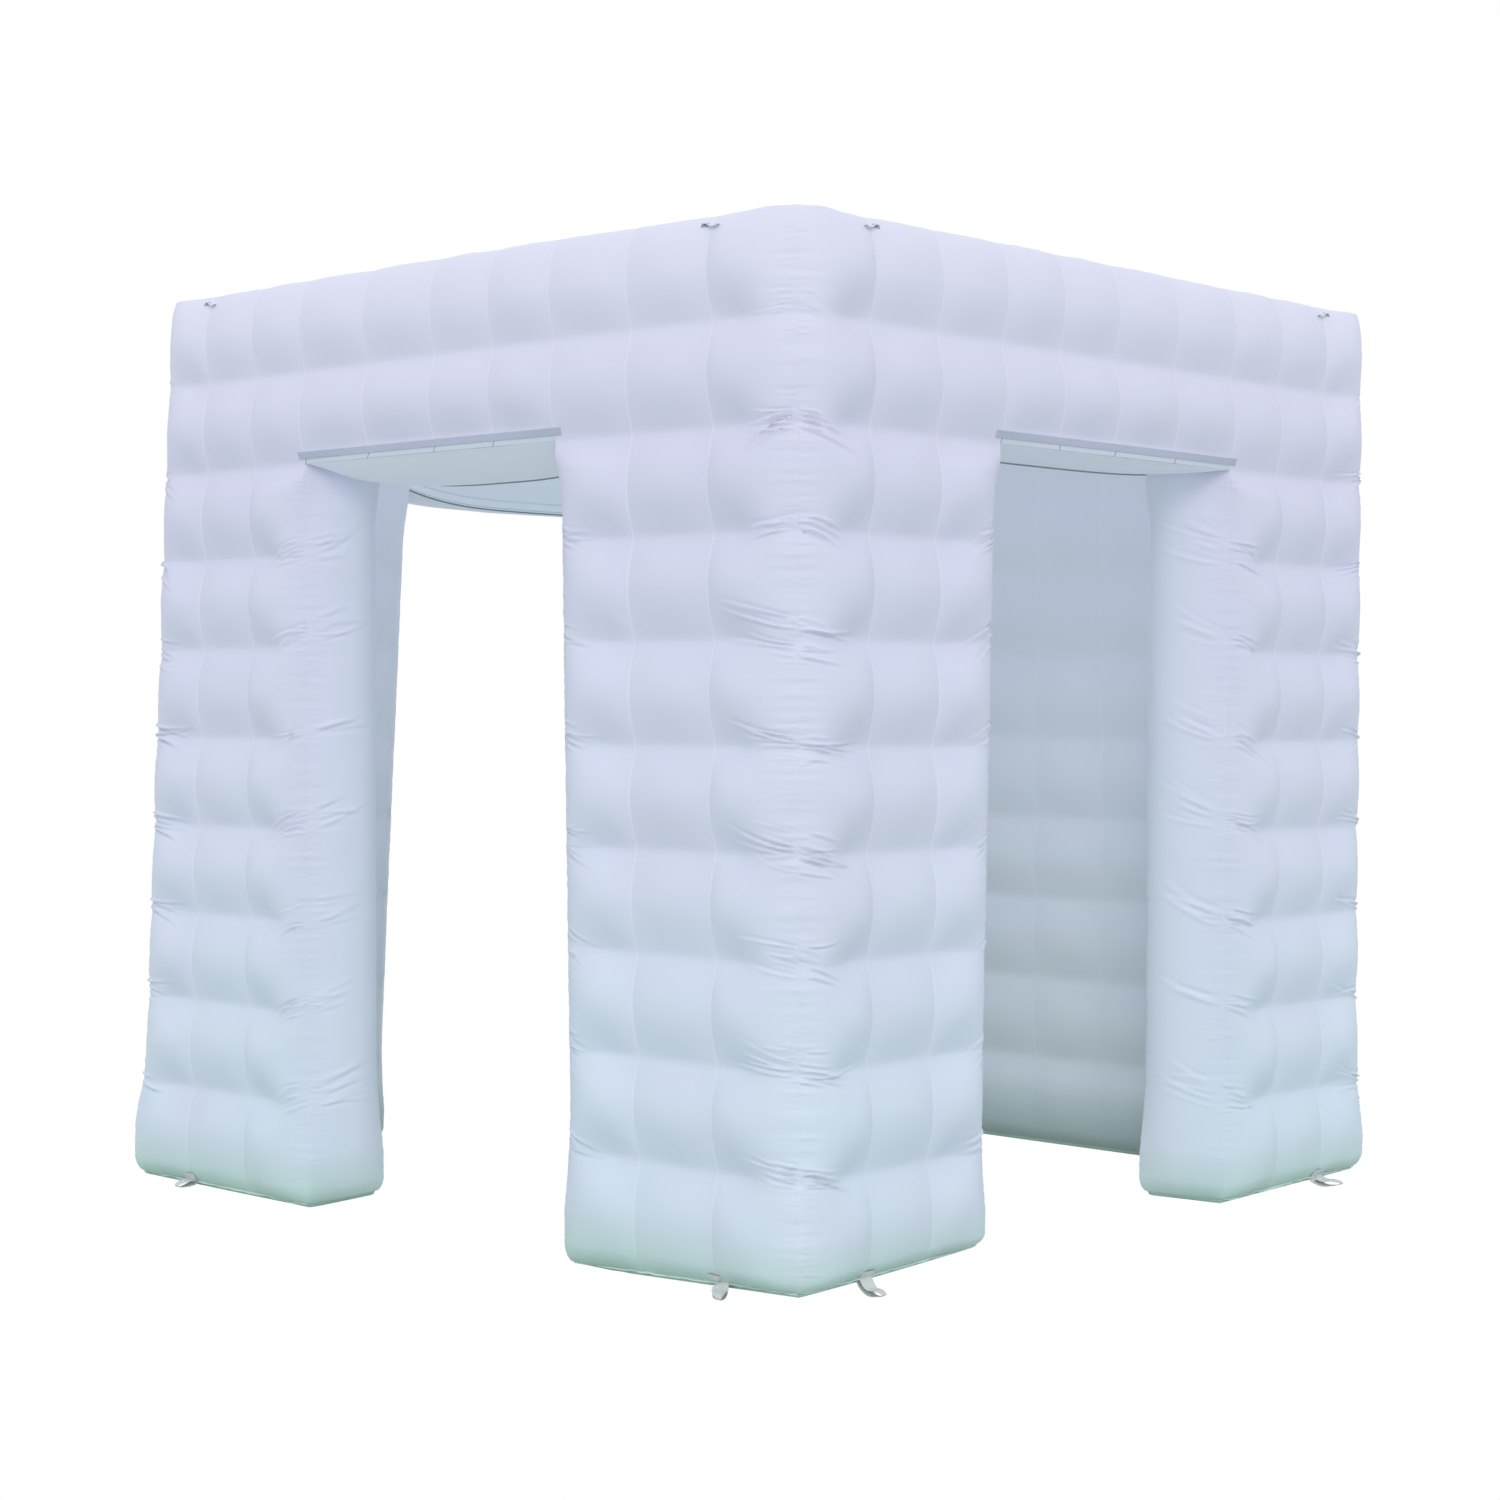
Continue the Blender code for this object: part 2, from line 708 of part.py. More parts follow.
def anchor_loop(seat, material, name):
    """A wide strip sewn over the hem of a foot, hanging to the ground as an open loop."""
    levels = grid(ANCHOR_TOP, ANCHOR_TOP - ANCHOR_SEWN)
    tallest = seat.surface(grid(-ANCHOR_WIDTH / 2, ANCHOR_WIDTH / 2), levels)
    upper, lower = tallest[0], tallest[-1]
    clear = max(tall - at for tall, at in zip(tallest, grid(upper, lower))) + STRAP_GAP + STRAP / 2
    high, low = Vector((upper + clear, levels[0])), Vector((lower + clear, levels[-1]))
    middle = Vector((low.x + ANCHOR_OPENING / 2, LOOP_GAP - LIFT + (STRAP + ANCHOR_OPENING) / 2))
    turn = [middle + Vector((-math.cos(angle), -math.sin(angle))) * ANCHOR_OPENING / 2
            for angle in grid(0.0, math.pi, 7)]
    up, apart = (high - low).normalized(), STRAP + GAP
    below = Vector((up.y, -up.x)) * apart
    bend = below + up * (apart - below.x) / up.x
    strip = ribbon([high, low, *turn, low + bend, high + below], STRAP)
    outline = [seat.at(-ANCHOR_WIDTH / 2, p.x, p.y) for p in strip]
    show(name, strap(outline, seat.across * ANCHOR_WIDTH), material)


def tie_loop(seat, side, material, name):
    """A narrow loop near the roof, sewn down by a tab and lying along the wall towards the corner."""
    base = max(seat.surface(grid(-0.033, 0.033), grid(-0.019, 0.006))) + STRAP_GAP
    (low_u, low_z), (high_u, high_z) = TIE_TAB
    corners = [(low_u, low_z), (high_u, low_z), (high_u, high_z), (low_u, high_z)]
    tab = extruded(bmesh.new(), [seat.at(side * u, base, z) for u, z in corners], seat.out * STRAP)
    strip = ribbon([Vector(point) for point in TIE_PATH], TIE_THICK)
    outline = [seat.at(side * p.x, base + TIE_RAISE, p.y) for p in strip]
    loop = show(name, strap(outline, seat.out * TIE_WIDTH), material)
    boolean(loop, "UNION", cutter(f"{name}_tab", tab, material))


def loops(skins, material):
    """At the first and last vertical seam of each wall: an anchor loop below and a tie loop above."""
    for wall in WALLS:
        own = [skin for skin in skins if skin.name.startswith(f"skin_{wall}")]
        for end, side in (("a", -1), ("b", 1)):
            foot = Seat(own, *WALLS[wall], lean(at_outer(wall, side * INNER_HALF)))
            anchor_loop(foot, material, f"anchor_loop_{wall}_{end}")
            roof = Seat(own, *WALLS[wall], lean(at_outer(wall, side * INNER_HALF, TIE_LEVEL)))
            tie_loop(roof, side, material, f"tie_loop_{wall}_{end}")


# Blower

def lay_along_y(bm, place):
    """Turns what stands along Z to point along +Y, and moves it."""
    for vertex in bm.verts:
        vertex.co = Vector((vertex.co.x, vertex.co.z, -vertex.co.y)) + place


def turned(profile, count=ROUND_STEPS):
    """A ring or a cup from a closed profile of (radius, height), turned about Z."""
    bm = bmesh.new()
    points = [bm.verts.new((radius, 0, height)) for radius, height in profile]
    edges = [bm.edges.new((a, b)) for a, b in zip(points, points[1:] + points[:1])]
    bmesh.ops.spin(
        bm, geom=points + edges, axis=Z, cent=(0, 0, 0), angle=2 * math.pi, steps=count, use_merge=True,
    )
    bmesh.ops.remove_doubles(bm, verts=bm.verts, dist=1e-6)
    flat = [face for face in bm.faces if face.calc_area() < 1e-12]
    bmesh.ops.delete(bm, geom=flat, context="FACES")
    return bm


def blower_housing(material):
    """A cup behind the port with the motor's boss in it and an outlet at the top."""
    back, wall = -HOUSING_DEPTH, HOUSING_WALL
    inside = HOUSING_RADIUS - wall
    boss, boss_top = 0.030, back + 0.045
    bm = turned([
        (0.0, back), (HOUSING_RADIUS, back), (HOUSING_RADIUS, -wall),
        (HOUSING_RIM, -wall), (HOUSING_RIM, 0.0),
        (inside, 0.0), (inside, back + wall), (boss, back + wall), (boss, boss_top), (0.0, boss_top),
    ])
    face = HALF - FABRIC - GAP
    lay_along_y(bm, Vector((BLOWER_X, face, SERVICE_Z)))
    housing = show("blower_housing", bm, material, math.radians(40))
    outlet = block(
        bmesh.new(),
        Vector((BLOWER_X - 0.035, face + back + 0.012, SERVICE_Z + 0.06)),
        Vector((BLOWER_X + 0.035, face - 0.030, SERVICE_Z + 0.14)),
    )
    boolean(housing, "DIFFERENCE", cutter("outlet_cutter", outlet, material))


def blade(bm, angle):
    """One backward-curved blade, standing on the back plate."""
    root, tip, sweep = IMPELLER_HUB + 0.016, IMPELLER_RADIUS - 0.002, math.radians(38)
    centre = []
    for i in range(4):
        reach = i / 3
        radius = root + (tip - root) * reach
        turn = angle - sweep * reach * reach
        centre.append(Vector((math.cos(turn), math.sin(turn))) * radius)
    outline = [Vector((p.x, p.y, 0.001)) for p in ribbon(centre, BLADE_THICK)]
    return extruded(bm, outline, Z * (IMPELLER_DEEP - 0.001))


def blower_impeller(material):
    """Back plate with hub, blades and the ring that ties their inlet ends."""
    plate = 0.002
    bm = turned([
        (0.0, 0.0), (IMPELLER_RADIUS, 0.0), (IMPELLER_RADIUS, plate), (IMPELLER_HUB, plate),
        (IMPELLER_HUB * 0.7, 0.024), (0.0, 0.028),
    ])
    place = Vector((BLOWER_X, HALF - HOUSING_DEPTH + 0.048, SERVICE_Z))
    lay_along_y(bm, place)
    impeller = show("blower_impeller", bm, material, math.radians(40))
    ring = turned([
        (IMPELLER_RADIUS - 0.016, IMPELLER_DEEP - 0.002), (IMPELLER_RADIUS, IMPELLER_DEEP - 0.002),
        (IMPELLER_RADIUS, IMPELLER_DEEP + 0.0005), (IMPELLER_RADIUS - 0.016, IMPELLER_DEEP + 0.0005),
    ])
    lay_along_y(ring, place)
    tools = [cutter("inlet_ring", ring, material)]
    for i in range(BLADES):
        one = blade(bmesh.new(), 2 * math.pi * i / BLADES)
        lay_along_y(one, place)
        tools.append(cutter(f"blade_{i:02d}", one, material))
    boolean(impeller, "UNION", *tools)


def rounded_square(side, corner, steps_round=4):
    points = []
    for quarter in range(4):
        diagonal = math.pi / 4 + quarter * math.pi / 2
        centre = Vector((math.cos(diagonal), math.sin(diagonal))) * math.sqrt(2) * (side / 2 - corner)
        for i in range(steps_round + 1):
            angle = quarter * math.pi / 2 + i * math.pi / 2 / steps_round
            points.append(centre + Vector((math.cos(angle), math.sin(angle))) * corner)
    return points


def blower_guard(material):
    """Square plate over the port with its grille, the switch's bezel and the cord inlet."""
    outline = [Vector((p.x, p.y, 0)) for p in rounded_square(PLATE_SIDE, PLATE_CORNER)]
    plate = extruded(bmesh.new(), outline, Z * PLATE_THICK)
    place = Vector((BLOWER_X, HALF + GAP, SERVICE_Z))
    lay_along_y(plate, place)
    guard = show("blower_guard", plate, material)

    hole = bmesh.new()
    bmesh.ops.create_cone(
        hole, cap_ends=True, segments=ROUND_STEPS, radius1=GRILLE_RADIUS, radius2=GRILLE_RADIUS, depth=0.05,
    )
    lay_along_y(hole, place)
    boolean(guard, "DIFFERENCE", cutter("grille_hole", hole, material))

    tools = []
    for i, radius in enumerate(GRILLE_RINGS):
        ring = turned([
            (radius - GRILLE_BAR / 2, 0.0005), (radius + GRILLE_BAR / 2, 0.0005),
            (radius + GRILLE_BAR / 2, GRILLE_DEEP), (radius - GRILLE_BAR / 2, GRILLE_DEEP),
        ], 24)
        lay_along_y(ring, place)
        tools.append(cutter(f"grille_ring_{i}", ring, material))
    for i in range(4):
        angle = math.pi * (i + 0.5) / 4
        along = Vector((math.cos(angle), math.sin(angle), 0)) * (GRILLE_RADIUS + 0.003)
        side = Vector((-math.sin(angle), math.cos(angle), 0)) * GRILLE_BAR / 2
        corners = [c + Z * 0.0008 for c in (along + side, -along + side, -along - side, along - side)]
        spoke = extruded(bmesh.new(), corners, Z * (GRILLE_DEEP - 0.0012))
        lay_along_y(spoke, place)
        tools.append(cutter(f"grille_spoke_{i}", spoke, material))

    half = SWITCH_BOSS / 2
    boss = block(
        bmesh.new(),
        Vector((BLOWER_X + CORNER_REACH - half.x, place.y + 0.001, SERVICE_Z - CORNER_REACH - half.y)),
        Vector((BLOWER_X + CORNER_REACH + half.x, place.y + PLATE_THICK + SWITCH_PROUD,
                SERVICE_Z - CORNER_REACH + half.y)),
    )
    tools.append(cutter("switch_boss", boss, material))
    inlet = bmesh.new()
    bmesh.ops.create_cone(
        inlet, cap_ends=True, segments=16, radius1=INLET_RADIUS, radius2=INLET_RADIUS * 0.8,
        depth=PLATE_THICK + INLET_PROUD,
    )
    inlet_place = place + Vector((-CORNER_REACH, (PLATE_THICK + INLET_PROUD) / 2 + 0.001, -CORNER_REACH))
    lay_along_y(inlet, inlet_place)
    tools.append(cutter("inlet_boss", inlet, material))
    boolean(guard, "UNION", *tools)

    pocket_half = SWITCH_POCKET / 2
    front = place.y + PLATE_THICK + SWITCH_PROUD
    switch_x, switch_z = BLOWER_X + CORNER_REACH, SERVICE_Z - CORNER_REACH
    pocket = block(
        bmesh.new(),
        Vector((switch_x - pocket_half.x, front - SWITCH_DEEP, switch_z - pocket_half.y)),
        Vector((switch_x + pocket_half.x, front + 0.01, switch_z + pocket_half.y)),
    )
    bore = bmesh.new()
    bmesh.ops.create_cone(
        bore, cap_ends=True, segments=12, radius1=INLET_BORE, radius2=INLET_BORE, depth=2 * INLET_PROUD,
    )
    lay_along_y(bore, inlet_place + Y * INLET_PROUD)
    tools = [cutter("switch_pocket", pocket, material), cutter("inlet_bore", bore, material)]
    boolean(guard, "DIFFERENCE", *tools)


def blower_switch(material):
    """Rocker whose origin is on its pivot, a shallow V seen from the side, switched off at rest."""
    front = HALF + GAP + PLATE_THICK + SWITCH_PROUD
    half = ROCKER.y / 2
    outline = [(-half, -0.004), (half, -0.004), (half, ROCKER_PROUD * 1.3), (0.0, ROCKER_PROUD * 0.5),
               (-half, ROCKER_PROUD * 1.3)]
    bm = extruded(bmesh.new(), [Vector((-ROCKER.x / 2, y, z)) for z, y in outline], X * ROCKER.x)
    rocker = show("blower_switch", bm, material)
    rocker.location = (BLOWER_X + CORNER_REACH, front - 0.001, SERVICE_Z - CORNER_REACH)
    rocker.rotation_euler.x = -ROCKER_TILT


# Deflation zip

def zip_parts(tape_material, metal):
    """Chain across the two flat cells, its slider, and the pull that swings on the slider."""
    centre_x = -HALF + (ZIP_COLUMNS[0] + 1) * CELL
    base = HALF + GAP
    chain = show("zip_chain", block(
        bmesh.new(),
        Vector((centre_x - ZIP_LENGTH / 2, base, SERVICE_Z - ZIP_TAPE_WIDTH / 2)),
        Vector((centre_x + ZIP_LENGTH / 2, base + ZIP_TAPE_THICK, SERVICE_Z + ZIP_TAPE_WIDTH / 2)),
    ), tape_material)
    start = centre_x - ZIP_TEETH * ZIP_TOOTH_PITCH / 2
    low = base + ZIP_TAPE_THICK / 2
    valley, high = base + ZIP_TAPE_THICK + 0.0008, base + ZIP_TAPE_THICK + ZIP_RIDGE_PROUD
    outline = [Vector((start, low, 0))]
    for i in range(ZIP_TEETH):
        tooth = start + i * ZIP_TOOTH_PITCH
        end, after = tooth + ZIP_TOOTH_PITCH * 0.6, tooth + ZIP_TOOTH_PITCH
        corners = ((tooth, high, 0), (end, high, 0), (end, valley, 0), (after, valley, 0))
        outline += [Vector(p) for p in corners]
    outline.append(Vector((start + ZIP_TEETH * ZIP_TOOTH_PITCH, low, 0)))
    bottom = Z * (SERVICE_Z - ZIP_RIDGE_WIDTH / 2)
    ridge = extruded(bmesh.new(), [p + bottom for p in outline], Z * ZIP_RIDGE_WIDTH)
    boolean(chain, "UNION", cutter("zip_teeth", ridge, tape_material))

    slider_x = start + SLIDER_LENGTH / 2 + 0.002
    low = base + ZIP_TAPE_THICK + GAP
    channel = ZIP_RIDGE_WIDTH / 2 + SLIDER_CLEAR
    roof = base + ZIP_TAPE_THICK + ZIP_RIDGE_PROUD + SLIDER_CLEAR
    half, top = SLIDER_WIDTH / 2, roof + SLIDER_WALL
    profile = [(-half, low), (-channel, low), (-channel, roof), (channel, roof), (channel, low), (half, low),
               (half, top), (-half, top)]
    body = extruded(
        bmesh.new(), [Vector((slider_x - SLIDER_LENGTH / 2, y, SERVICE_Z + z)) for z, y in profile],
        X * SLIDER_LENGTH,
    )
    slider = show("zip_slider", body, metal)
    pin_y = top + 0.0035
    posts = []
    for side in (-1, 1):
        post = block(
            bmesh.new(),
            Vector((slider_x - 0.0015, top - 0.001, SERVICE_Z + side * 0.0055 - 0.001)),
            Vector((slider_x + 0.0015, pin_y + 0.0012, SERVICE_Z + side * 0.0055 + 0.001)),
        )
        posts.append(cutter(f"slider_post_{'low' if side < 0 else 'high'}", post, metal))
    bar = bmesh.new()
    bmesh.ops.create_cone(bar, cap_ends=True, segments=10, radius1=0.0009, radius2=0.0009, depth=0.0115)
    bmesh.ops.translate(bar, verts=bar.verts, vec=Vector((slider_x, pin_y, SERVICE_Z)))
    posts.append(cutter("slider_bar", bar, metal))
    boolean(slider, "UNION", *posts)

    zip_pull(Vector((slider_x, pin_y, SERVICE_Z)), metal)


def zip_pull(pin, metal):
    """Tab whose end is curled into a knuckle round the slider's bar."""
    half, thick = PULL_KNUCKLE / 2, PULL_THICK / 2
    outline = [(0.0, -half), (PULL_LENGTH * 0.3, -half), (PULL_LENGTH * 0.45, -PULL_WIDTH / 2),
               (PULL_LENGTH, -PULL_WIDTH / 2), (PULL_LENGTH, PULL_WIDTH / 2), (PULL_LENGTH * 0.45, PULL_WIDTH / 2),
               (PULL_LENGTH * 0.3, half), (0.0, half)]
    tab = extruded(bmesh.new(), [Vector((x, -thick, z)) for x, z in outline], Y * PULL_THICK)
    pull = show("zip_pull", tab, metal)
    tools = []
    for name, radius, length in (
        ("pull_knuckle", PULL_ROUND, PULL_KNUCKLE - 0.0004),
        ("pull_bore", PULL_BORE, 2 * PULL_KNUCKLE),
    ):
        bm = bmesh.new()
        bmesh.ops.create_cone(bm, cap_ends=True, segments=14, radius1=radius, radius2=radius, depth=length)
        tools.append(cutter(name, bm, metal))
    boolean(pull, "UNION", tools[0])
    boolean(pull, "DIFFERENCE", tools[1])
    for thing in (pull, *tools):
        thing.location = pin


def build():
    clear_scene()
    outer = finish("outer_fabric", (0.80, 0.82, 0.90), 0.55)
    inner = finish("inner_fabric", (0.74, 0.78, 0.86), 0.6)
    ground = finish("ground_sheet", (0.62, 0.66, 0.70), 0.7)
    web = finish("baffle_fabric", (0.86, 0.87, 0.90), 0.7)
    tape = finish("hook_and_loop", (0.62, 0.64, 0.78), 0.9)
    strap = finish("webbing", (0.88, 0.90, 0.90), 0.75)
    shell = finish("blower_plastic", (0.06, 0.06, 0.07), 0.45)
    fan = finish("impeller_plastic", (0.10, 0.10, 0.11), 0.4)
    rocker = finish("rocker_plastic", (0.45, 0.03, 0.03), 0.3)
    zip_tape = finish("zip_tape", (0.82, 0.83, 0.86), 0.8)
    metal = finish("zip_metal", (0.62, 0.62, 0.64), 0.3, 1.0)

    skins = leg_skins(outer)
    lintels(outer, inner)
    skins.append(back_and_roof(outer))
    jambs(outer)
    liners(inner)
    base_panels(ground)
    baffles(web)
    tapes(tape)
    loops(skins, strap)
    blower_housing(shell)
    blower_guard(shell)
    blower_impeller(fan)
    blower_switch(rocker)
    zip_parts(zip_tape, metal)
    for thing in bpy.data.objects:
        thing.location += PLAN_SHIFT


build()
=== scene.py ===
"""Looks of the inflatable photo booth: quilted cloth, webbing, tapes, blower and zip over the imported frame."""

import math

import bmesh
import bpy
import numpy as np
from mathutils import Matrix, Vector
from mathutils.geometry import tessellate_polygon


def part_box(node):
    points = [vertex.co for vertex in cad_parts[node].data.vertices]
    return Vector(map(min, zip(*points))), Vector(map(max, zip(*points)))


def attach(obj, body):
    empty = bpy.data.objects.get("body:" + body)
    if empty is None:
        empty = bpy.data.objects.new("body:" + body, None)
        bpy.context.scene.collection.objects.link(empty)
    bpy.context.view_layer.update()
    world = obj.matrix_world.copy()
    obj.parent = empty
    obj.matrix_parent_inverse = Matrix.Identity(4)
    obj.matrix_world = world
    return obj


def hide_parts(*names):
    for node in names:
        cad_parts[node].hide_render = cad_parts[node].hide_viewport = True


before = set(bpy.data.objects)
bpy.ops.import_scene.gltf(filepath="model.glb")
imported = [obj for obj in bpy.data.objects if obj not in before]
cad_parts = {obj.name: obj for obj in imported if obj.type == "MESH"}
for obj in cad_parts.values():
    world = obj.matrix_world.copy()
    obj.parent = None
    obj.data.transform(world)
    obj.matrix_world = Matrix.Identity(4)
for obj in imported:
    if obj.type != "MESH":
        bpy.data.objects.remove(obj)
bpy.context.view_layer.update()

# Grid of sewn cells, in metres
CELL = 0.25
CELLS = 10
LEG_CELLS = 3
SIDE = CELL * CELLS
HALF = SIDE / 2
INNER_HALF = HALF - CELL
INNER_HEIGHT = SIDE - CELL
DOOR_HALF = HALF - LEG_CELLS * CELL
DOOR_ROWS = 8
DOOR_TOP = DOOR_ROWS * CELL
DOOR_EDGES = (CELL * LEG_CELLS, CELL * (CELLS - LEG_CELLS))
LIFT = 0.035

# What the air does to the cloth
SEAM_BOW = 0.0205
CELL_ARCH = 0.014
CORNER_PEAK = 0.047
DOOR_PEAK = 0.048
PEAK_PLACE = 0.150
CORNER_TURN = math.radians(45)
SEAM_TURN = math.radians(27)
CORNER_PULL = 0.016
DOOR_PULL = 0.010
ROOF_TUCK = 0.020
ROOF_BOW = 0.004
FOOT_TUCK = 0.014
FOOT_ROLL = 0.040
FRONT_FALL = ((-HALF, 0.022), (-DOOR_HALF, 0.025), (DOOR_HALF, 0.033), (HALF, -0.003))
SIDE_FALL = ((-HALF, -0.003), (-DOOR_HALF, -0.015), (DOOR_HALF, 0.018), (HALF, 0.004))
FALL_REACH = 0.14
HEM = 0.036
HEM_RISE = 0.003
TAPE_LEVELS = (DOOR_TOP + 0.0135, DOOR_TOP + 0.0345)
TAPE_START = CELL * LEG_CELLS - 0.024
JAMB_CROWN = 0.040
SOFFIT_CROWN = {"front": 0.030, "right": 0.008, "left": 0.020}
SOFFIT_SAG = {"front": 0.062, "right": 0.010, "left": 0.044}
SOFFIT_END = 0.10

# Lean of the two front corners, of the left doorway's front post and of two doorways' edges: the shift across
# the ground at the foot, and then at the roof
LEFT_LEAN = ((-0.080, 0.0), (0.060, 0.010))
RIGHT_LEAN = ((0.045, -0.005), (-0.010, 0.030))
POST_LEAN = ((-0.130, 0.0), (0.030, 0.0))
NEAR_EDGE_LEAN = ((0.010, 0.0), (-0.052, 0.0))
FAR_EDGE_LEAN = ((-0.020, 0.0), (-0.045, 0.0))
SIDE_NEAR_LEAN = ((0.0, -0.032), (0.0, 0.034))
SIDE_FAR_LEAN = ((0.0, 0.036), (0.0, 0.046))
PLAN_SHIFT = np.array((0.0348, 0.0058, 0.0))

# Mesh spacing
FINE = 0.0045
MIDDLE = 0.009
COARSE = 0.012

# How much wider the spacing is on the walls that are seen less
WALL_SPACING = {"front": 1.0, "right": 1.0, "left": 1.3, "back": 1.9}

# Flat cells of the back: the blower's column and the two of the zip. Round opening of the cloth behind the
# blower's plate
SERVICE_COLUMNS = (1, 6, 7)
INTAKE = 0.099

# Height of a sewn line over the cloth, how far from a seam the cloth still follows its pull, and slack
SEAM_RIDGE = 0.0009
PULL_REACH = 0.12
SLACK = 0.0014


# Webbing: width and thickness of the anchor loops, of the tie loops and of the dark piping that paints a shadow
# line, and what the sewn pieces stand over the cloth
ANCHOR_STRAP = (0.046, 0.0019)
TIE_STRAP = (0.0095, 0.0017)
SHADOW_PIPING_ROUND = (0.0050, 0.004)
TAPE_THICK = 0.0024
TIE_TAB_THICK = 0.0022
ON_GROUND = 0.0026
BASE_LEVEL = 0.0012

X, Y, Z = np.eye(3)
WALLS = {"front": (X, -Y), "right": (Y, X), "back": (-X, Y), "left": (-Y, -X)}
DOOR_WALLS = ("front", "right", "left")
SIDE_NAMES = {"front": ("left", "right"), "right": ("front", "back"), "left": ("back", "front")}


def smooth(low, high, value):
    """0 below low, 1 above high, eased between."""
    share = np.clip((value - low) / (high - low), 0, 1)
    return share * share * (3 - 2 * share)


def ramp(low, high, value):
    """0 below low, 1 above high, straight between."""
    return np.clip((value - low) / (high - low), 0, 1)


def band(value, low, high, outside, inside):
    """1 between low and high, and 0 from outside past them, eased from inside."""
    return smooth(low - outside, low + inside, value) * (1 - smooth(high - inside, high + outside, value))


def quarter(share):
    """A quarter of a circle that rises from 0 upright and ends level at 1."""
    return np.sqrt(1 - (1 - share) ** 2)


def lean(points):
    """Where points of the upright booth stand once its front corners and its left post lean."""
    x, y, level = points[..., 0], points[..., 1], (points[..., 2] - LIFT) / SIDE
    across, along = ramp(DOOR_HALF, HALF, np.abs(x)), ramp(DOOR_HALF, HALF, -y)
    post = (1 - along - ramp(-DOOR_HALF, DOOR_HALF, y)) * ramp(DOOR_HALF, INNER_HALF, -x)
    near = along * ramp(0, DOOR_HALF, x) * (1 - ramp(DOOR_HALF, HALF, x))
    far = along * ramp(0, DOOR_HALF, -x) * (1 - ramp(DOOR_HALF, HALF, -x))
    right = ramp(DOOR_HALF, HALF, x) * ramp(0, DOOR_HALF, -y) * (1 - ramp(DOOR_HALF, HALF, -y))
    far_right = ramp(INNER_HALF, HALF, x) * ramp(0, DOOR_HALF, y) * (1 - ramp(DOOR_HALF, HALF, y))
    moved = points.copy()
    for share, (foot_shift, roof_shift) in (
        (across * along * (x < 0), LEFT_LEAN), (across * along * (x >= 0), RIGHT_LEAN), (post, POST_LEAN),
        (near, NEAR_EDGE_LEAN), (far, FAR_EDGE_LEAN), (right, SIDE_NEAR_LEAN), (far_right, SIDE_FAR_LEAN),
    ):
        for axis in (0, 1):
            moved[..., axis] += share * (foot_shift[axis] + (roof_shift[axis] - foot_shift[axis]) * level)
    fall = along * np.interp(x, *zip(*FRONT_FALL)) + (1 - along) * np.interp(y, *zip(*SIDE_FALL))
    moved[..., 2] -= fall * (1 - ramp(0, FALL_REACH, points[..., 2] - LIFT)) ** 2
    return moved + PLAN_SHIFT


# Cells of the noise's table, and a shift that keeps every position in it above zero
NOISE_CELLS = 257
NOISE_SHIFT = 1000.5


def value_noise(seed, size, *coords):
    """Smooth noise in -1..1 over one or two coordinates, one value per size."""
    rng = np.random.default_rng(seed)
    table = rng.uniform(-1, 1, (NOISE_CELLS, NOISE_CELLS))
    grid = [np.asarray(c, float) / size + NOISE_SHIFT for c in coords]
    if len(grid) == 1:
        grid.append(np.zeros_like(grid[0]))
    cell = [np.floor(g).astype(int) for g in grid]
    part = [g - c for g, c in zip(grid, cell)]
    part = [p * p * (3 - 2 * p) for p in part]
    a, b = cell[0] % NOISE_CELLS, cell[1] % NOISE_CELLS
    a1, b1 = (a + 1) % NOISE_CELLS, (b + 1) % NOISE_CELLS
    low = table[a, b] + (table[a1, b] - table[a, b]) * part[0]
    high = table[a, b1] + (table[a1, b1] - table[a, b1]) * part[0]
    return low + (high - low) * part[1]


# Lines of the mesh beside a vertical seam, and how far from it the even ones begin
SEAM_LINES = (-0.0075, -0.0045, -0.002, 0, 0.002, 0.0045, 0.0075)
SEAM_CLEAR = 0.0095


def steps(start, end, spacing, seams=True):
    """Pattern positions with a few extra lines beside each vertical seam."""
    count = max(2, round((end - start) / spacing))
    places = list(np.linspace(start, end, count + 1))
    if seams:
        marks = [CELL * i for i in range(CELLS + 1) if start - 1e-6 <= CELL * i <= end + 1e-6]
        places = [p for p in places if all(abs(p - m) > SEAM_CLEAR for m in marks)]
        for mark in marks:
            places += [mark + d for d in SEAM_LINES]
        places = [p for p in places if start - 1e-9 <= p <= end + 1e-9]
    return np.array(sorted(set(np.round(places, 6))))


# Creases pressed into the cloth

class Creases:
    """Folds that run from a start point over a panel. Each is a ridge with a valley beside it."""

    def __init__(self, seed):
        self.rng = np.random.default_rng(seed)
        self.folds = []

    def add(self, u, v, angle, length, width, tall, bend, grip):
        self.folds.append((u, v, angle, length, width, tall, bend, grip))

    def press(self, u, v):
        """The height that the folds add over a grid of pattern positions (v rows, u columns)."""
        height = np.zeros((len(v), len(u)))
        for u0, v0, angle, length, width, tall, bend, grip in self.folds:
            reach = length + 4 * width
            i = np.searchsorted(u, (u0 - reach, u0 + reach))
            j = np.searchsorted(v, (v0 - reach, v0 + reach))
            if i[0] == i[1] or j[0] == j[1]:
                continue
            du = u[i[0]:i[1]][None, :] - u0
            dv = v[j[0]:j[1]][:, None] - v0
            x = (du * math.cos(angle) + dv * math.sin(angle)) / length
            y = (dv * math.cos(angle) - du * math.sin(angle)) - bend * length * x * x
            inside = np.clip(x, 0, 1)
            along = smooth(0, grip, x) * (1 - inside) ** 0.8 * (x < 1)
            wide = width * (0.7 + 0.6 * inside)
            across = np.exp(-(y / wide) ** 2) - 0.8 * np.exp(-((y + 1.5 * wide) / (1.1 * wide)) ** 2)
            height[j[0]:j[1], i[0]:i[1]] += tall * along * across
        return height


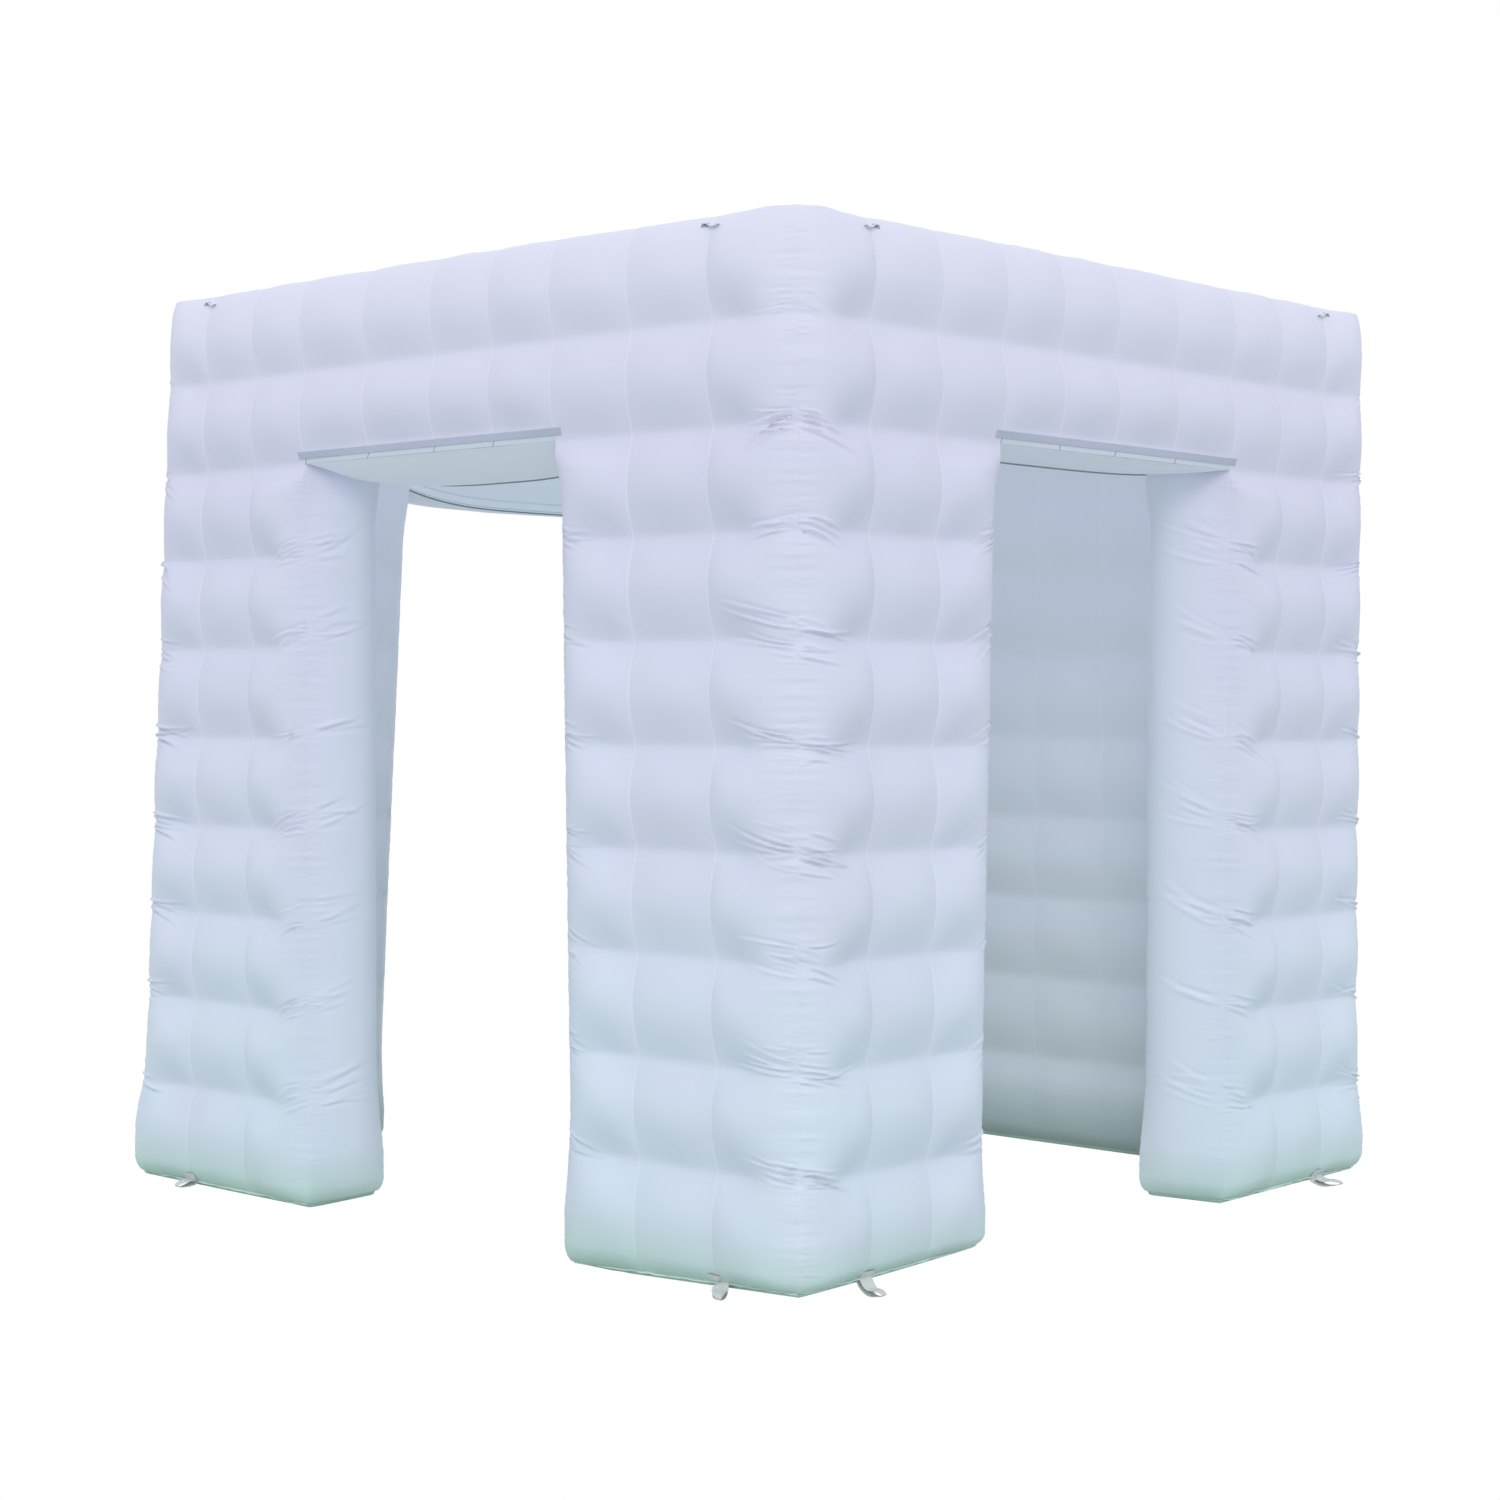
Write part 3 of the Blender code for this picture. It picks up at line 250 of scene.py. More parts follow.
def puckers(creases, edge, heading, top, longest, tallest):
    """Short gathers all along a seam that the air pulls tight, from near the ground to near its top."""
    rng = creases.rng
    v = 0.05
    while v < top - 0.03:
        long = rng.uniform(0.3, 1.0) ** 1.4
        creases.add(
            edge, v, direction(heading, rng.normal(0.05, 0.10)), longest * long, rng.uniform(0.0022, 0.0036),
            tallest * rng.uniform(0.35, 1.0) * (0.4 + 0.6 * long), rng.normal(0, 0.08), 0.08,
        )
        v += rng.uniform(0.009, 0.021)


def direction(heading, slope):
    """The angle of a fold that runs along +u (heading 1) or -u (heading -1), rising by slope."""
    return math.atan2(slope, heading)


def corner_starts(corner):
    """The levels at which folds cross a corner seam, near each row of stitching: the same for both of its walls."""
    rng = np.random.default_rng(900 + corner)
    return [(row, row * CELL + rng.normal(0.012, 0.020)) for row in range(1, CELLS) for _ in range(rng.integers(5, 9))]


def corner_creases(creases, corner, edge, heading):
    """Gathers along a corner seam, and the long folds where a row of stitching runs out."""
    rng = creases.rng
    puckers(creases, edge, heading, SIDE, 0.055, 0.0029)
    for row, start in corner_starts(corner):
        high, top = row > 6, row == CELLS - 1
        slope = -0.30 if high else 0.18 if heading < 0 else -0.16
        long = rng.uniform(0, 1) ** 1.3 * (0.4 if top else 1.0)
        creases.add(
            edge + heading * rng.uniform(-0.004, 0.022), start, direction(heading, slope + rng.normal(0, 0.07)),
            0.055 + 0.155 * long, rng.uniform(0.0030, 0.0046),
            rng.uniform(0.0034, 0.0056) * (0.5 if top else 1.0) + 0.0028 * long,
            rng.normal(-0.06 if high else 0.0, 0.09), 0.12,
        )


def door_creases(creases, edge, heading, onto):
    """Folds that drop away from a doorway's edge to the row of stitching, and go on over the jamb."""
    rng = creases.rng
    for row in range(1, DOOR_ROWS):
        for _ in range(rng.integers(4, 8)):
            start = row * CELL + rng.uniform(-0.008, 0.062)
            creases.add(
                edge + heading * rng.uniform(-0.004, 0.03), start, direction(heading, -rng.normal(0.34, 0.10)),
                rng.uniform(0.045, 0.160), rng.uniform(0.0028, 0.0046), rng.uniform(0.0028, 0.0060),
                rng.normal(0.08, 0.10), 0.15,
            )
            onto.append((start, rng.normal(0.36, 0.09), rng.uniform(0.0020, 0.0042)))
    puckers(creases, edge, heading, DOOR_TOP, 0.046, 0.0022)


def foot_gathers(creases, start, end):
    """Gathers that stand up from the seam round a foot."""
    rng = creases.rng
    u = start + 0.02
    while u < end - 0.02:
        creases.add(
            u, 0.004, math.pi / 2 + rng.normal(0, 0.25), rng.uniform(0.02, 0.07), rng.uniform(0.004, 0.007),
            rng.uniform(0.0008, 0.0028), 0.0, 0.15,
        )
        u += rng.uniform(0.014, 0.034)


# Quilting

def valley(share):
    """0 on a row of stitching and 1 between two, with a rounded bottom."""
    soft = 0.13
    rise = np.abs(np.sin(np.pi * share))
    return (np.sqrt(rise ** 2 + soft ** 2) - soft) / (math.sqrt(1 + soft ** 2) - soft)


def rows_of(v, roof=SIDE, rolled=True):
    """The same up a whole panel, which turns over in a round at the ground, and at the roof where it is rolled."""
    half = CELL / 2
    height = np.where(v < half, quarter(ramp(0, half, v)), valley(v / CELL))
    if rolled:
        height = np.where(v > roof - half, np.sqrt(1 - ramp(roof - half, roof, v) ** 2), height)
    return height


def arch(share):
    return np.sin(np.pi * np.clip(share, 0, 1))


def round_share(away, turn):
    """A circular arc that falls from 1 at its crown (away 0) to 0 where it slopes by turn (away 1)."""
    low = math.cos(turn)
    return (np.sqrt(1 - (away * math.sin(turn)) ** 2) - low) / (1 - low)


def rounded(distance, peak, pull, seam):
    """Height of a column that turns a corner. distance is from the corner, which is pulled in both ways."""
    near = ramp(0, PEAK_PLACE, distance)
    far = ramp(PEAK_PLACE, CELL, distance)
    return np.where(
        distance < PEAK_PLACE, -pull + (peak + pull) * round_share(1 - near, CORNER_TURN),
        seam + (peak - seam) * round_share(far, SEAM_TURN),
    )


def fading(distance):
    """How far a row of stitching has run out, from 0 at the next seam to 1 at a corner."""
    return 0.9 * smooth(0.22, 0.95, 1 - distance / CELL)


def turned_column(distance, peak, rise, pull, seam):
    """A column beside a corner over all of its rows. peak, rise, pull and seam have a value for each level."""
    full = 1 - (1 - rise[None, :]) * (1 - fading(distance))
    return rounded(distance, peak * full, pull[None, :], seam[None, :])


def corner_pull(corner, v):
    """How far a corner seam is drawn in along both of its walls."""
    row = np.abs(v / CELL - np.round(v / CELL)) * CELL
    pull = -0.006 + (CORNER_PULL + 0.006) * smooth(0.03, 0.42, v)
    pull = pull - 0.004 * valley(v / CELL) + 0.002 * np.exp(-(row / 0.012) ** 2)
    pull = pull + 0.0010 * value_noise(corner * 7 + 1, 0.013, v) + 0.0015 * value_noise(corner * 7 + 2, 0.06, v)
    return pull * (1 - smooth(SIDE - 0.15, SIDE, v))


def roof_tuck(v):
    """How far the top of a wall leans in to its seam with the roof."""
    return ROOF_TUCK * ramp(SIDE - CELL, SIDE, v) ** 4


def seam_lips(distance):
    """The cloth that stands up on both sides of a seam with gathers."""
    return 0.0011 * np.exp(-((distance - 0.0055) / 0.0035) ** 2)


def door_pull(v):
    """How far the edges of the jambs are drawn in."""
    pull = -0.004 + (DOOR_PULL + 0.004) * smooth(0.03, 0.35, v) + 0.0008 * value_noise(77, 0.014, v)
    return pull * (1 - smooth(DOOR_TOP - 0.16, DOOR_TOP - 0.01, v))


def below_lintel(v):
    """1 beside a doorway and 0 above it, where its bulged edges run out."""
    return 1 - smooth(DOOR_TOP - 0.08, DOOR_TOP - 0.005, v)


def roof_edge(wall, u):
    """How far the seam between a wall and the roof bows up."""
    seed = 40 + list(WALLS).index(wall)
    return ROOF_BOW * np.abs(np.sin(np.pi * u / CELL)) * (0.6 + 0.4 * value_noise(seed + 5, 0.3, u)) + (
        0.0010 * value_noise(seed, 0.03, u) * smooth(0, 0.02, u) * smooth(0, 0.02, SIDE - u))


# The corner at each end of a wall
CORNER_OF = {"front": (0, 1), "right": (1, 2), "back": (2, 3), "left": (3, 0)}


def foot(height, v):
    """Rolls the bottom of a panel in towards the base."""
    roll = 1 - quarter(ramp(0, FOOT_ROLL, v))
    return height * (1 - roll) - FOOT_TUCK * roll


def quilted(u, seams, arches, rise):
    """Cells between vertical seams. seams (seam, v) and arches (column, v) are heights, rise is 0 on a row."""
    columns = len(seams) - 1
    i = np.clip((u / CELL + 1e-7).astype(int), 0, columns - 1)
    s = (u / CELL - i)[:, None]
    return seams[i] * (1 - s) + seams[i + 1] * s + arches[i] * rise * arch(s)


def sewn_line(u, first, last):
    """1 on the vertical seams between first and last, and 0 beside them."""
    k = np.round(u / CELL)
    return np.exp(-((u - CELL * k) / 0.0024) ** 2) * (k > first) * (k < last)


def wall_seams(wall, u, v):
    """Where a wall's panel shows its seams: not on its corners, nor on the edges of its doorway."""
    shown = sewn_line(u, 0, CELLS)[None, :] * np.ones_like(v)[:, None]
    if wall in DOOR_WALLS:
        k = np.round(u / CELL)
        door = (k == LEG_CELLS) | (k == CELLS - LEG_CELLS)
        shown = np.where(door[None, :] & (v < DOOR_TOP + 0.01)[:, None], 0.0, shown)
        over_door = (k > LEG_CELLS) & (k < CELLS - LEG_CELLS)
        shown = np.where(over_door[None, :] & (v < DOOR_TOP + HEM)[:, None], 0.0, shown)
    return shown


def slack(seed, u, v):
    """Long soft waves of cloth that isn't quite tight, away from the seams."""
    inside = np.minimum(2 * np.abs(np.sin(np.pi * u / CELL)), 1)
    return SLACK * value_noise(seed, 0.11, u[:, None], v[None, :]) * inside[:, None]


def wall_height(wall, u, v, has_door, seed):
    """Height of a whole outer wall over the plane of its seams, on a grid of v rows and u columns."""
    rng = np.random.default_rng(seed)
    row = np.clip((v / CELL + 1e-7).astype(int), 0, CELLS - 1)
    bows = SEAM_BOW * rng.uniform(0.93, 1.07, (CELLS + 1, CELLS))[:, row]
    arches = CELL_ARCH * rng.uniform(0.88, 1.12, (CELLS, CELLS))[:, row]
    peaks = rng.uniform(0.95, 1.05, (4, CELLS))[:, row]
    rise = rows_of(v)
    seams = bows * rise
    if has_door:
        over_hem = ramp(DOOR_TOP + HEM, DOOR_TOP + CELL, v)
        low = np.where(v < DOOR_TOP + CELL, valley(over_hem) + 0 * v, rise)
        low = np.where(v < DOOR_TOP + HEM, 0.0, low)
        for k in range(LEG_CELLS + 1, CELLS - LEG_CELLS):
            seams[k] = bows[k] * low + HEM_RISE * (1 - over_hem) * (v < DOOR_TOP + CELL)
    height = quilted(u, seams, arches, rise[None, :])
    if has_door:
        over_door = (u > CELL * LEG_CELLS) & (u < CELL * (CELLS - LEG_CELLS))
        height = np.where(over_door[:, None], quilted(u, seams, arches, low[None, :]), height)

    near, far = CORNER_OF[wall]
    for edge, corner, k, peak in ((0.0, near, 1, peaks[0]), (SIDE, far, CELLS - 1, peaks[1])):
        distance = np.abs(u - edge)[:, None]
        turned = turned_column(distance, CORNER_PEAK * peak, rise, corner_pull(corner, v), seams[k])
        turned = turned + seam_lips(distance)
        height = np.where(distance <= CELL, turned, height)
    if has_door:
        below = below_lintel(v)[None, :]
        for edge, k, side, peak in (
            (CELL * LEG_CELLS, LEG_CELLS - 1, -1, peaks[2]),
            (SIDE - CELL * LEG_CELLS, CELLS - LEG_CELLS + 1, 1, peaks[3]),
        ):
            distance = (side * (u - edge))[:, None]
            turned = turned_column(np.clip(distance, 0, CELL), DOOR_PEAK * peak, rise, door_pull(v), seams[k])
            column = (distance >= -1e-9) & (distance <= CELL)
            height = np.where(column, height + (turned - height) * below, height)
    height = height + SEAM_RIDGE * wall_seams(wall, u, v).T * rise + slack(seed + 3, u, v)
    height = height - roof_tuck(v)[None, :]
    return foot(height, v[None, :]).T


# The points of each sewn panel that was made, with the lines of its pattern
PANELS = {}


def sheet_object(name, points, u, v, material, seams=None):
    """A smooth quad mesh over a grid of points (v rows, u columns). Its UV maps are the pattern and the seams."""
    PANELS[name] = (points, u, v)
    rows, columns = len(v), len(u)
    index = np.arange(rows * columns).reshape(rows, columns)
    quads = np.stack([index[:-1, :-1], index[:-1, 1:], index[1:, 1:], index[1:, :-1]], -1).reshape(-1, 4)
    mesh = bpy.data.meshes.new(name)
    mesh.vertices.add(rows * columns)
    mesh.vertices.foreach_set("co", points.reshape(-1))
    mesh.loops.add(quads.size)
    mesh.loops.foreach_set("vertex_index", quads.reshape(-1))
    mesh.polygons.add(len(quads))
    mesh.polygons.foreach_set("loop_start", np.arange(0, quads.size, 4))
    mesh.polygons.foreach_set("loop_total", np.full(len(quads), 4))
    sewing = np.zeros((rows, columns)) if seams is None else seams
    for label, values in (("pattern", np.stack(np.meshgrid(u, v), -1)), ("sewing", np.stack([sewing, sewing], -1))):
        layer = mesh.uv_layers.new(name=label)
        layer.data.foreach_set("uv", values.reshape(-1, 2)[quads.reshape(-1)].reshape(-1))
    mesh.update()
    mesh.validate()
    mesh.shade_smooth()
    mesh.materials.append(material)
    thing = bpy.data.objects.new(name, mesh)
    bpy.context.scene.collection.objects.link(thing)
    return thing


def place(corner, across, up, u, v, height, shift_u=0.0, shift_v=0.0):
    out = np.cross(across, up)
    points = (
        np.asarray(corner)
        + across * (u[None, :, None] + np.asarray(shift_u)[..., None])
        + up * (v[:, None, None] + np.asarray(shift_v)[..., None])
        + out * height[..., None]
    )
    return lean(points)


def levels(start, end, spacing):
    """Heights of the mesh's lines, closer together beside the rows of stitching, where the folds are."""
    places = [start]
    while places[-1] < end - 0.5 * spacing:
        row = abs(places[-1] / CELL - round(places[-1] / CELL)) * CELL
        places.append(places[-1] + spacing * (0.6 + 0.32 * float(smooth(0.045, 0.075, row))))
    places[-1] = end
    return np.array(places)


def near_edge(distance):
    """1 on an edge, falling to 0 where the cloth no longer follows the edge's pull."""
    return np.clip(1 - np.abs(distance) / PULL_REACH, 0, 1) ** 2


def cuts_of(wall):
    """The sewn panels of a wall: node, from, to and lowest level."""
    if wall not in DOOR_WALLS:
        return ((f"skin_{wall}", 0.0, SIDE, 0.0),)
    near, far = SIDE_NAMES[wall]
    return (
        (f"skin_{wall}_{near}", 0.0, DOOR_EDGES[0], 0.0),
        (f"skin_{wall}_lintel", *DOOR_EDGES, DOOR_TOP),
        (f"skin_{wall}_{far}", DOOR_EDGES[1], SIDE, 0.0),
    )


def outer_walls(cloth, lintel_cloth):
    """The skins of the four outer walls. Returns them with the folds that go on over each jamb."""
    made, folds = [], {}
    for number, (wall, (across, out)) in enumerate(WALLS.items()):
        has_door = wall in DOOR_WALLS
        creases = Creases(100 + number)
        near, far = CORNER_OF[wall]
        corner_creases(creases, near, 0.0, 1)
        corner_creases(creases, far, SIDE, -1)
        foot_gathers(creases, 0.0, SIDE)
        if has_door:
            folds[wall] = ([], [])
            for edge, heading, onto in zip(DOOR_EDGES, (-1, 1), folds[wall]):
                door_creases(creases, edge, heading, onto)
        for name, start, end, low in cuts_of(wall):
            u = steps(start, end, WALL_SPACING[wall] * MIDDLE)
            v = levels(low, SIDE, WALL_SPACING[wall] * FINE)
            height = wall_height(wall, u, v, has_door, 200 + number) + creases.press(u, v)
            if not has_door:
                height = flatten_service(height, u, v)
            first, last = (foot(-corner_pull(corner, v) - roof_tuck(v), v) for corner in (near, far))
            shift_u = last[:, None] * near_edge(SIDE - u)[None, :] - first[:, None] * near_edge(u)[None, :]
            if has_door:
                door = foot(-door_pull(v), v)[:, None] * (v < DOOR_TOP)[:, None]
                for edge, side in zip(DOOR_EDGES, (1, -1)):
                    shift_u = shift_u + side * door * (near_edge(u - edge) * (side * (u - edge) <= 1e-9))[None, :]
            shift_v = roof_edge(wall, u)[None, :] * near_edge(SIDE - v)[:, None]
            if start == 0.0:
                height[:, 0] = first
            if end == SIDE:
                height[:, -1] = last
            if has_door and low == 0.0:
                below = v <= DOOR_TOP
                column = -1 if start == 0.0 else 0
                height[below, column] = foot(-door_pull(v), v)[below]
            height[-1, :] = -ROOF_TUCK
            corner = -across * HALF + out * HALF + Z * LIFT
            points = place(corner, across, Z, u, v, height, shift_u, shift_v)
            finish = cloth if low == 0.0 else lintel_cloth
            skin = sheet_object(name, points, u, v, finish, wall_seams(wall, u, v))
            if not has_door:
                open_intake(skin)
            made.append((skin, (name,)))
    return made, folds


def on_back(node):
    """The corners of a node's box on the pattern of the back: across, then up."""
    low, high = (np.array(corner) - PLAN_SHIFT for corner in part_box(node))
    return (HALF - high[0], HALF - low[0]), (low[2] - LIFT, high[2] - LIFT)


def open_intake(skin):
    """Takes the cloth away where the blower draws its air. The blower's plate covers the edge."""
    across, up = (sum(pair) / 2 for pair in on_back("blower_housing"))
    cloth = bmesh.new()
    cloth.from_mesh(skin.data)
    pattern = cloth.loops.layers.uv["pattern"]
    inside = [f for f in cloth.faces if min(math.dist(c[pattern].uv, (across, up)) for c in f.loops) < INTAKE]
    bmesh.ops.delete(cloth, geom=inside, context="FACES")
    cloth.to_mesh(skin.data)
    cloth.free()


def flatten_service(height, u, v):
    """The cells of the back that carry the blower and the zip are flat panels."""
    flat = np.zeros_like(height)
    row = band(v, CELL, 2 * CELL, 0.002, 0.02)
    columns = [band(u, CELL * column, CELL * (column + 1), 0.002, 0.02) for column in SERVICE_COLUMNS]
    columns.append(band(u, CELL * SERVICE_COLUMNS[1], CELL * (SERVICE_COLUMNS[2] + 1), -0.01, 0.03))
    across, up = on_back("zip_chain")
    beside = band(v, *up, 0.05, -0.03), band(u, *across, 0.08, -0.05)
    for inside_v, inside_u in (*((row, column) for column in columns), beside):
        flat = np.maximum(flat, inside_v[:, None] * inside_u[None, :])
    return height * (1 - flat) - 0.0005 * flat


def jambs(cloth, folds):
    """The smooth panels at the sides of the doorways, a cell deep and bulged across their whole width."""
    made = []
    for number, wall in enumerate(DOOR_WALLS):
        across, out = WALLS[wall]
        for side, label in enumerate(SIDE_NAMES[wall]):
            creases = Creases(300 + 2 * number + side)
            rng = creases.rng
            outer, heading = ((0.0, 1), (CELL, -1))[side]
            for start, slope, tall in folds[wall][side]:
                creases.add(
                    outer + heading * rng.uniform(0, 0.02), start + rng.normal(0.0, 0.01), direction(heading, slope),
                    rng.uniform(0.08, 0.21), rng.uniform(0.005, 0.008), tall, rng.normal(-0.05, 0.1), 0.25,
                )
            puckers(creases, outer, heading, DOOR_TOP, 0.050, 0.0022)
            puckers(creases, CELL - outer, -heading, DOOR_TOP, 0.045, 0.0012)
            foot_gathers(creases, 0.0, CELL)
            u, v = steps(0.0, CELL, MIDDLE), levels(0.0, DOOR_TOP, FINE)
            full = np.sqrt(ramp(0, CELL / 2, DOOR_TOP - v)) * quarter(ramp(0, CELL / 2, v))
            full = full * (1 + 0.05 * value_noise(320 + number + side, 0.3, v))
            pull = door_pull(v)
            over = round_share(np.abs(2 * u / CELL - 1), CORNER_TURN)[None, :]
            height = -pull[:, None] + ((JAMB_CROWN + pull) * full)[:, None] * over
            height += 0.0016 * value_noise(330 + number + side, 0.09, v[:, None], u[None, :]) * over
            height += (seam_lips(u) + seam_lips(CELL - u))[None, :]
            height = height + creases.press(u, v)
            height[:, 0] = height[:, -1] = -pull
            height[-1, :] = 0.0
            height = foot(height, v[:, None])
            shift_u = foot(-pull, v)[:, None] * (near_edge(CELL - u) - near_edge(u))[None, :]
            start = -across * DOOR_HALF + out * HALF if side == 0 else across * DOOR_HALF + out * INNER_HALF
            run = -out if side == 0 else out
            points = place(start + Z * LIFT, run, Z, u, v, height, shift_u)
            name = f"jamb_{wall}_{label}"
            # Depth into the doorway, where the jamb's cloth takes its painted shade
            depth = np.abs(u - outer)[None, :] / CELL * np.ones_like(v)[:, None]
            made.append((sheet_object(name, points, u, v, cloth, depth), (name,)))
    return made


def lining_height(u, v, first, last, seed, roof=None):
    """Height of a quilted lining. first and last say what its side edges are: fold or door."""
    rng = np.random.default_rng(seed)
    columns = round(u[-1] / CELL)
    row = np.clip((v / CELL + 1e-7).astype(int), 0, CELLS - 1)
    bows = SEAM_BOW * rng.uniform(0.93, 1.07, (columns + 1, CELLS))[:, row]
    arches = CELL_ARCH * rng.uniform(0.9, 1.1, (columns, CELLS))[:, row]
    rise = valley(v / CELL) if roof is None else rows_of(v, roof, rolled=False)
    seams = bows * rise
    seams[0] *= 0.0
    seams[-1] *= 0.0
    height = quilted(u, seams, arches, rise[None, :])
    for edge, k, kind in ((0.0, 1, first), (u[-1], columns - 1, last)):
        if kind != "door":
            continue
        distance = np.abs(u - edge)[:, None]
        below = below_lintel(v)[None, :]
        turned = turned_column(np.clip(distance, 0, CELL), DOOR_PEAK, rise, door_pull(v), seams[k])
        height = np.where(distance <= CELL, height + (turned - height) * below, height)
    return (height + SEAM_RIDGE * sewn_line(u, 0, columns)[:, None] * rise + slack(seed + 5, u, v)).T


def lining_seams(u, v):
    return sewn_line(u, 0, round(u[-1] / CELL))[None, :] * np.ones_like(v)[:, None]


# The panels of each lining: wall, start across it, cells, and what the two side edges are
LININGS = {
    "liner_front_left": (("front", -DOOR_HALF, 2, "door", "fold"), ("left", INNER_HALF, 2, "fold", "door")),
    "liner_front_right": (("right", -DOOR_HALF, 2, "door", "fold"), ("front", INNER_HALF, 2, "fold", "door")),
    "liner_back": (
        ("left", -DOOR_HALF, 2, "door", "fold"), ("back", INNER_HALF, 8, "fold", "fold"),
        ("right", INNER_HALF, 2, "fold", "door"),
    ),
}


def linings(cloth, bound, hemmed):
    """The inner sides of the walls, quilted as the outer ones, and folded into the corners."""
    made = []
    for number, (node, panels) in enumerate(LININGS.items()):
        for k, (wall, start, cells, first, last) in enumerate(panels):
            across, out = WALLS[wall]
            creases = Creases(400 + 10 * number + k)
            u = steps(0.0, cells * CELL, COARSE)
            v = steps(0.0, INNER_HEIGHT, 0.75 * COARSE, seams=False)
            for edge, kind, heading in ((0.0, first, 1), (u[-1], last, -1)):
                if kind == "door":
                    door_creases(creases, edge, heading, [])
                else:
                    puckers(creases, edge, heading, INNER_HEIGHT, 0.045, 0.0010)
            height = lining_height(u, v, first, last, 420 + 10 * number + k, INNER_HEIGHT) + creases.press(u, v)
            pulls = []
            for edge, kind, column in ((0.0, first, 0), (u[-1], last, -1)):
                pull = door_pull(v) if kind == "door" else np.zeros_like(v)
                height[:, column] = -pull
                pulls.append(foot(-pull, v) * (1 if kind == "door" else -1))
            height[-1, :] = 0.0
            height = foot(height, v[:, None])
            shift_u = pulls[1][:, None] * near_edge(u[-1] - u)[None, :] - pulls[0][:, None] * near_edge(u)[None, :]
            corner = across * start + out * INNER_HALF + Z * LIFT
            points = place(corner, -across, Z, u, v, height, shift_u)
            made.append((sheet_object(f"{node}_{k}", points, u, v, cloth, lining_seams(u, v)), (node,)))
    for number, wall in enumerate(DOOR_WALLS):
        across, out = WALLS[wall]
        u = steps(0.0, 2 * DOOR_HALF, COARSE)
        v = steps(0.0, CELL, COARSE, seams=False)
        height = lining_height(u, v, "fold", "fold", 480 + number) * smooth(0.0, 0.05, v)[:, None]
        height[:, 0] = height[:, -1] = 0.0
        height[0, :] = height[-1, :] = 0.0
        drop = -sag(wall, u)[None, :] * (1 - v / CELL)[:, None]
        corner = across * DOOR_HALF + out * INNER_HALF + Z * (LIFT + DOOR_TOP)
        name = f"liner_{wall}_lintel"
        points = place(corner, -across, Z, u, v, height, 0.0, drop)
        made.append((sheet_object(name, points, u, v, bound, lining_seams(u, v)), (name,)))

        u, v = steps(0.0, 2 * DOOR_HALF, COARSE, seams=False), steps(0.0, CELL, MIDDLE)
        ends = quarter(ramp(0, SOFFIT_END, np.minimum(u, 2 * DOOR_HALF - u)))
        across_it = np.sin(np.pi * v / CELL)[:, None]
        height = sag(wall, u)[None, :] * (v / CELL)[:, None] + SOFFIT_CROWN[wall] * across_it * ends[None, :]
        height += 0.0015 * value_noise(490 + number, 0.12, v[:, None], u[None, :]) * across_it
        corner = across * DOOR_HALF + out * HALF + Z * (LIFT + DOOR_TOP)
        name = f"soffit_{wall}"
        made.append((sheet_object(name, place(corner, -across, -out, u, v, height), u, v, hemmed), (name,)))
    return made


def sag(wall, u):
    """How far the inner edge of a lintel's underside hangs down."""
    return SOFFIT_SAG[wall] * (1 - np.abs(u / DOOR_HALF - 1) ** 3.2)


def roof_and_ceiling(outer, inner):
    made = []
    u = steps(0.0, SIDE, COARSE)
    v = steps(0.0, SIDE, COARSE, seams=False)
    height = lining_height(u, v, "fold", "fold", 500)
    across, along = np.minimum(u, SIDE - u)[None, :], np.minimum(v, SIDE - v)[:, None]
    height = height * (0.06 + 0.94 * smooth(0, 0.26, across)) * (0.06 + 0.94 * smooth(0, 0.26, along))
    edges = {"front": roof_edge("front", u), "back": roof_edge("back", SIDE - u)}
    sides = {"left": roof_edge("left", SIDE - v), "right": roof_edge("right", v)}
    height += edges["front"][None, :] * near_edge(v)[:, None] + edges["back"][None, :] * near_edge(SIDE - v)[:, None]
    height += sides["left"][:, None] * near_edge(u)[None, :] + sides["right"][:, None] * near_edge(SIDE - u)[None, :]
    height[0, :], height[-1, :] = edges["front"], edges["back"]
    height[:, 0], height[:, -1] = sides["left"], sides["right"]
    shift_u = ROOF_TUCK * (near_edge(u) - near_edge(SIDE - u))[None, :]
    shift_v = ROOF_TUCK * (near_edge(v) - near_edge(SIDE - v))[:, None]
    corner = np.array([-HALF, -HALF, LIFT + SIDE])
    points = place(corner, X, Y, u, v, height, shift_u, shift_v)
    made.append((sheet_object("skin_roof", points, u, v, outer, lining_seams(u, v)), ("skin_roof",)))
    u = steps(0.0, 2 * INNER_HALF, COARSE)
    v = steps(0.0, 2 * INNER_HALF, COARSE, seams=False)
    height = lining_height(u, v, "fold", "fold", 520)
    height = height * smooth(0, 0.05, v)[:, None] * smooth(0, 0.05, 2 * INNER_HALF - v)[:, None]
    corner = np.array([INNER_HALF, -INNER_HALF, LIFT + INNER_HEIGHT])
    points = place(corner, -X, Y, u, v, height)
    made.append((sheet_object("ceiling", points, u, v, inner, lining_seams(u, v)), ("ceiling",)))
    return made


# Trim that is sewn onto the panels

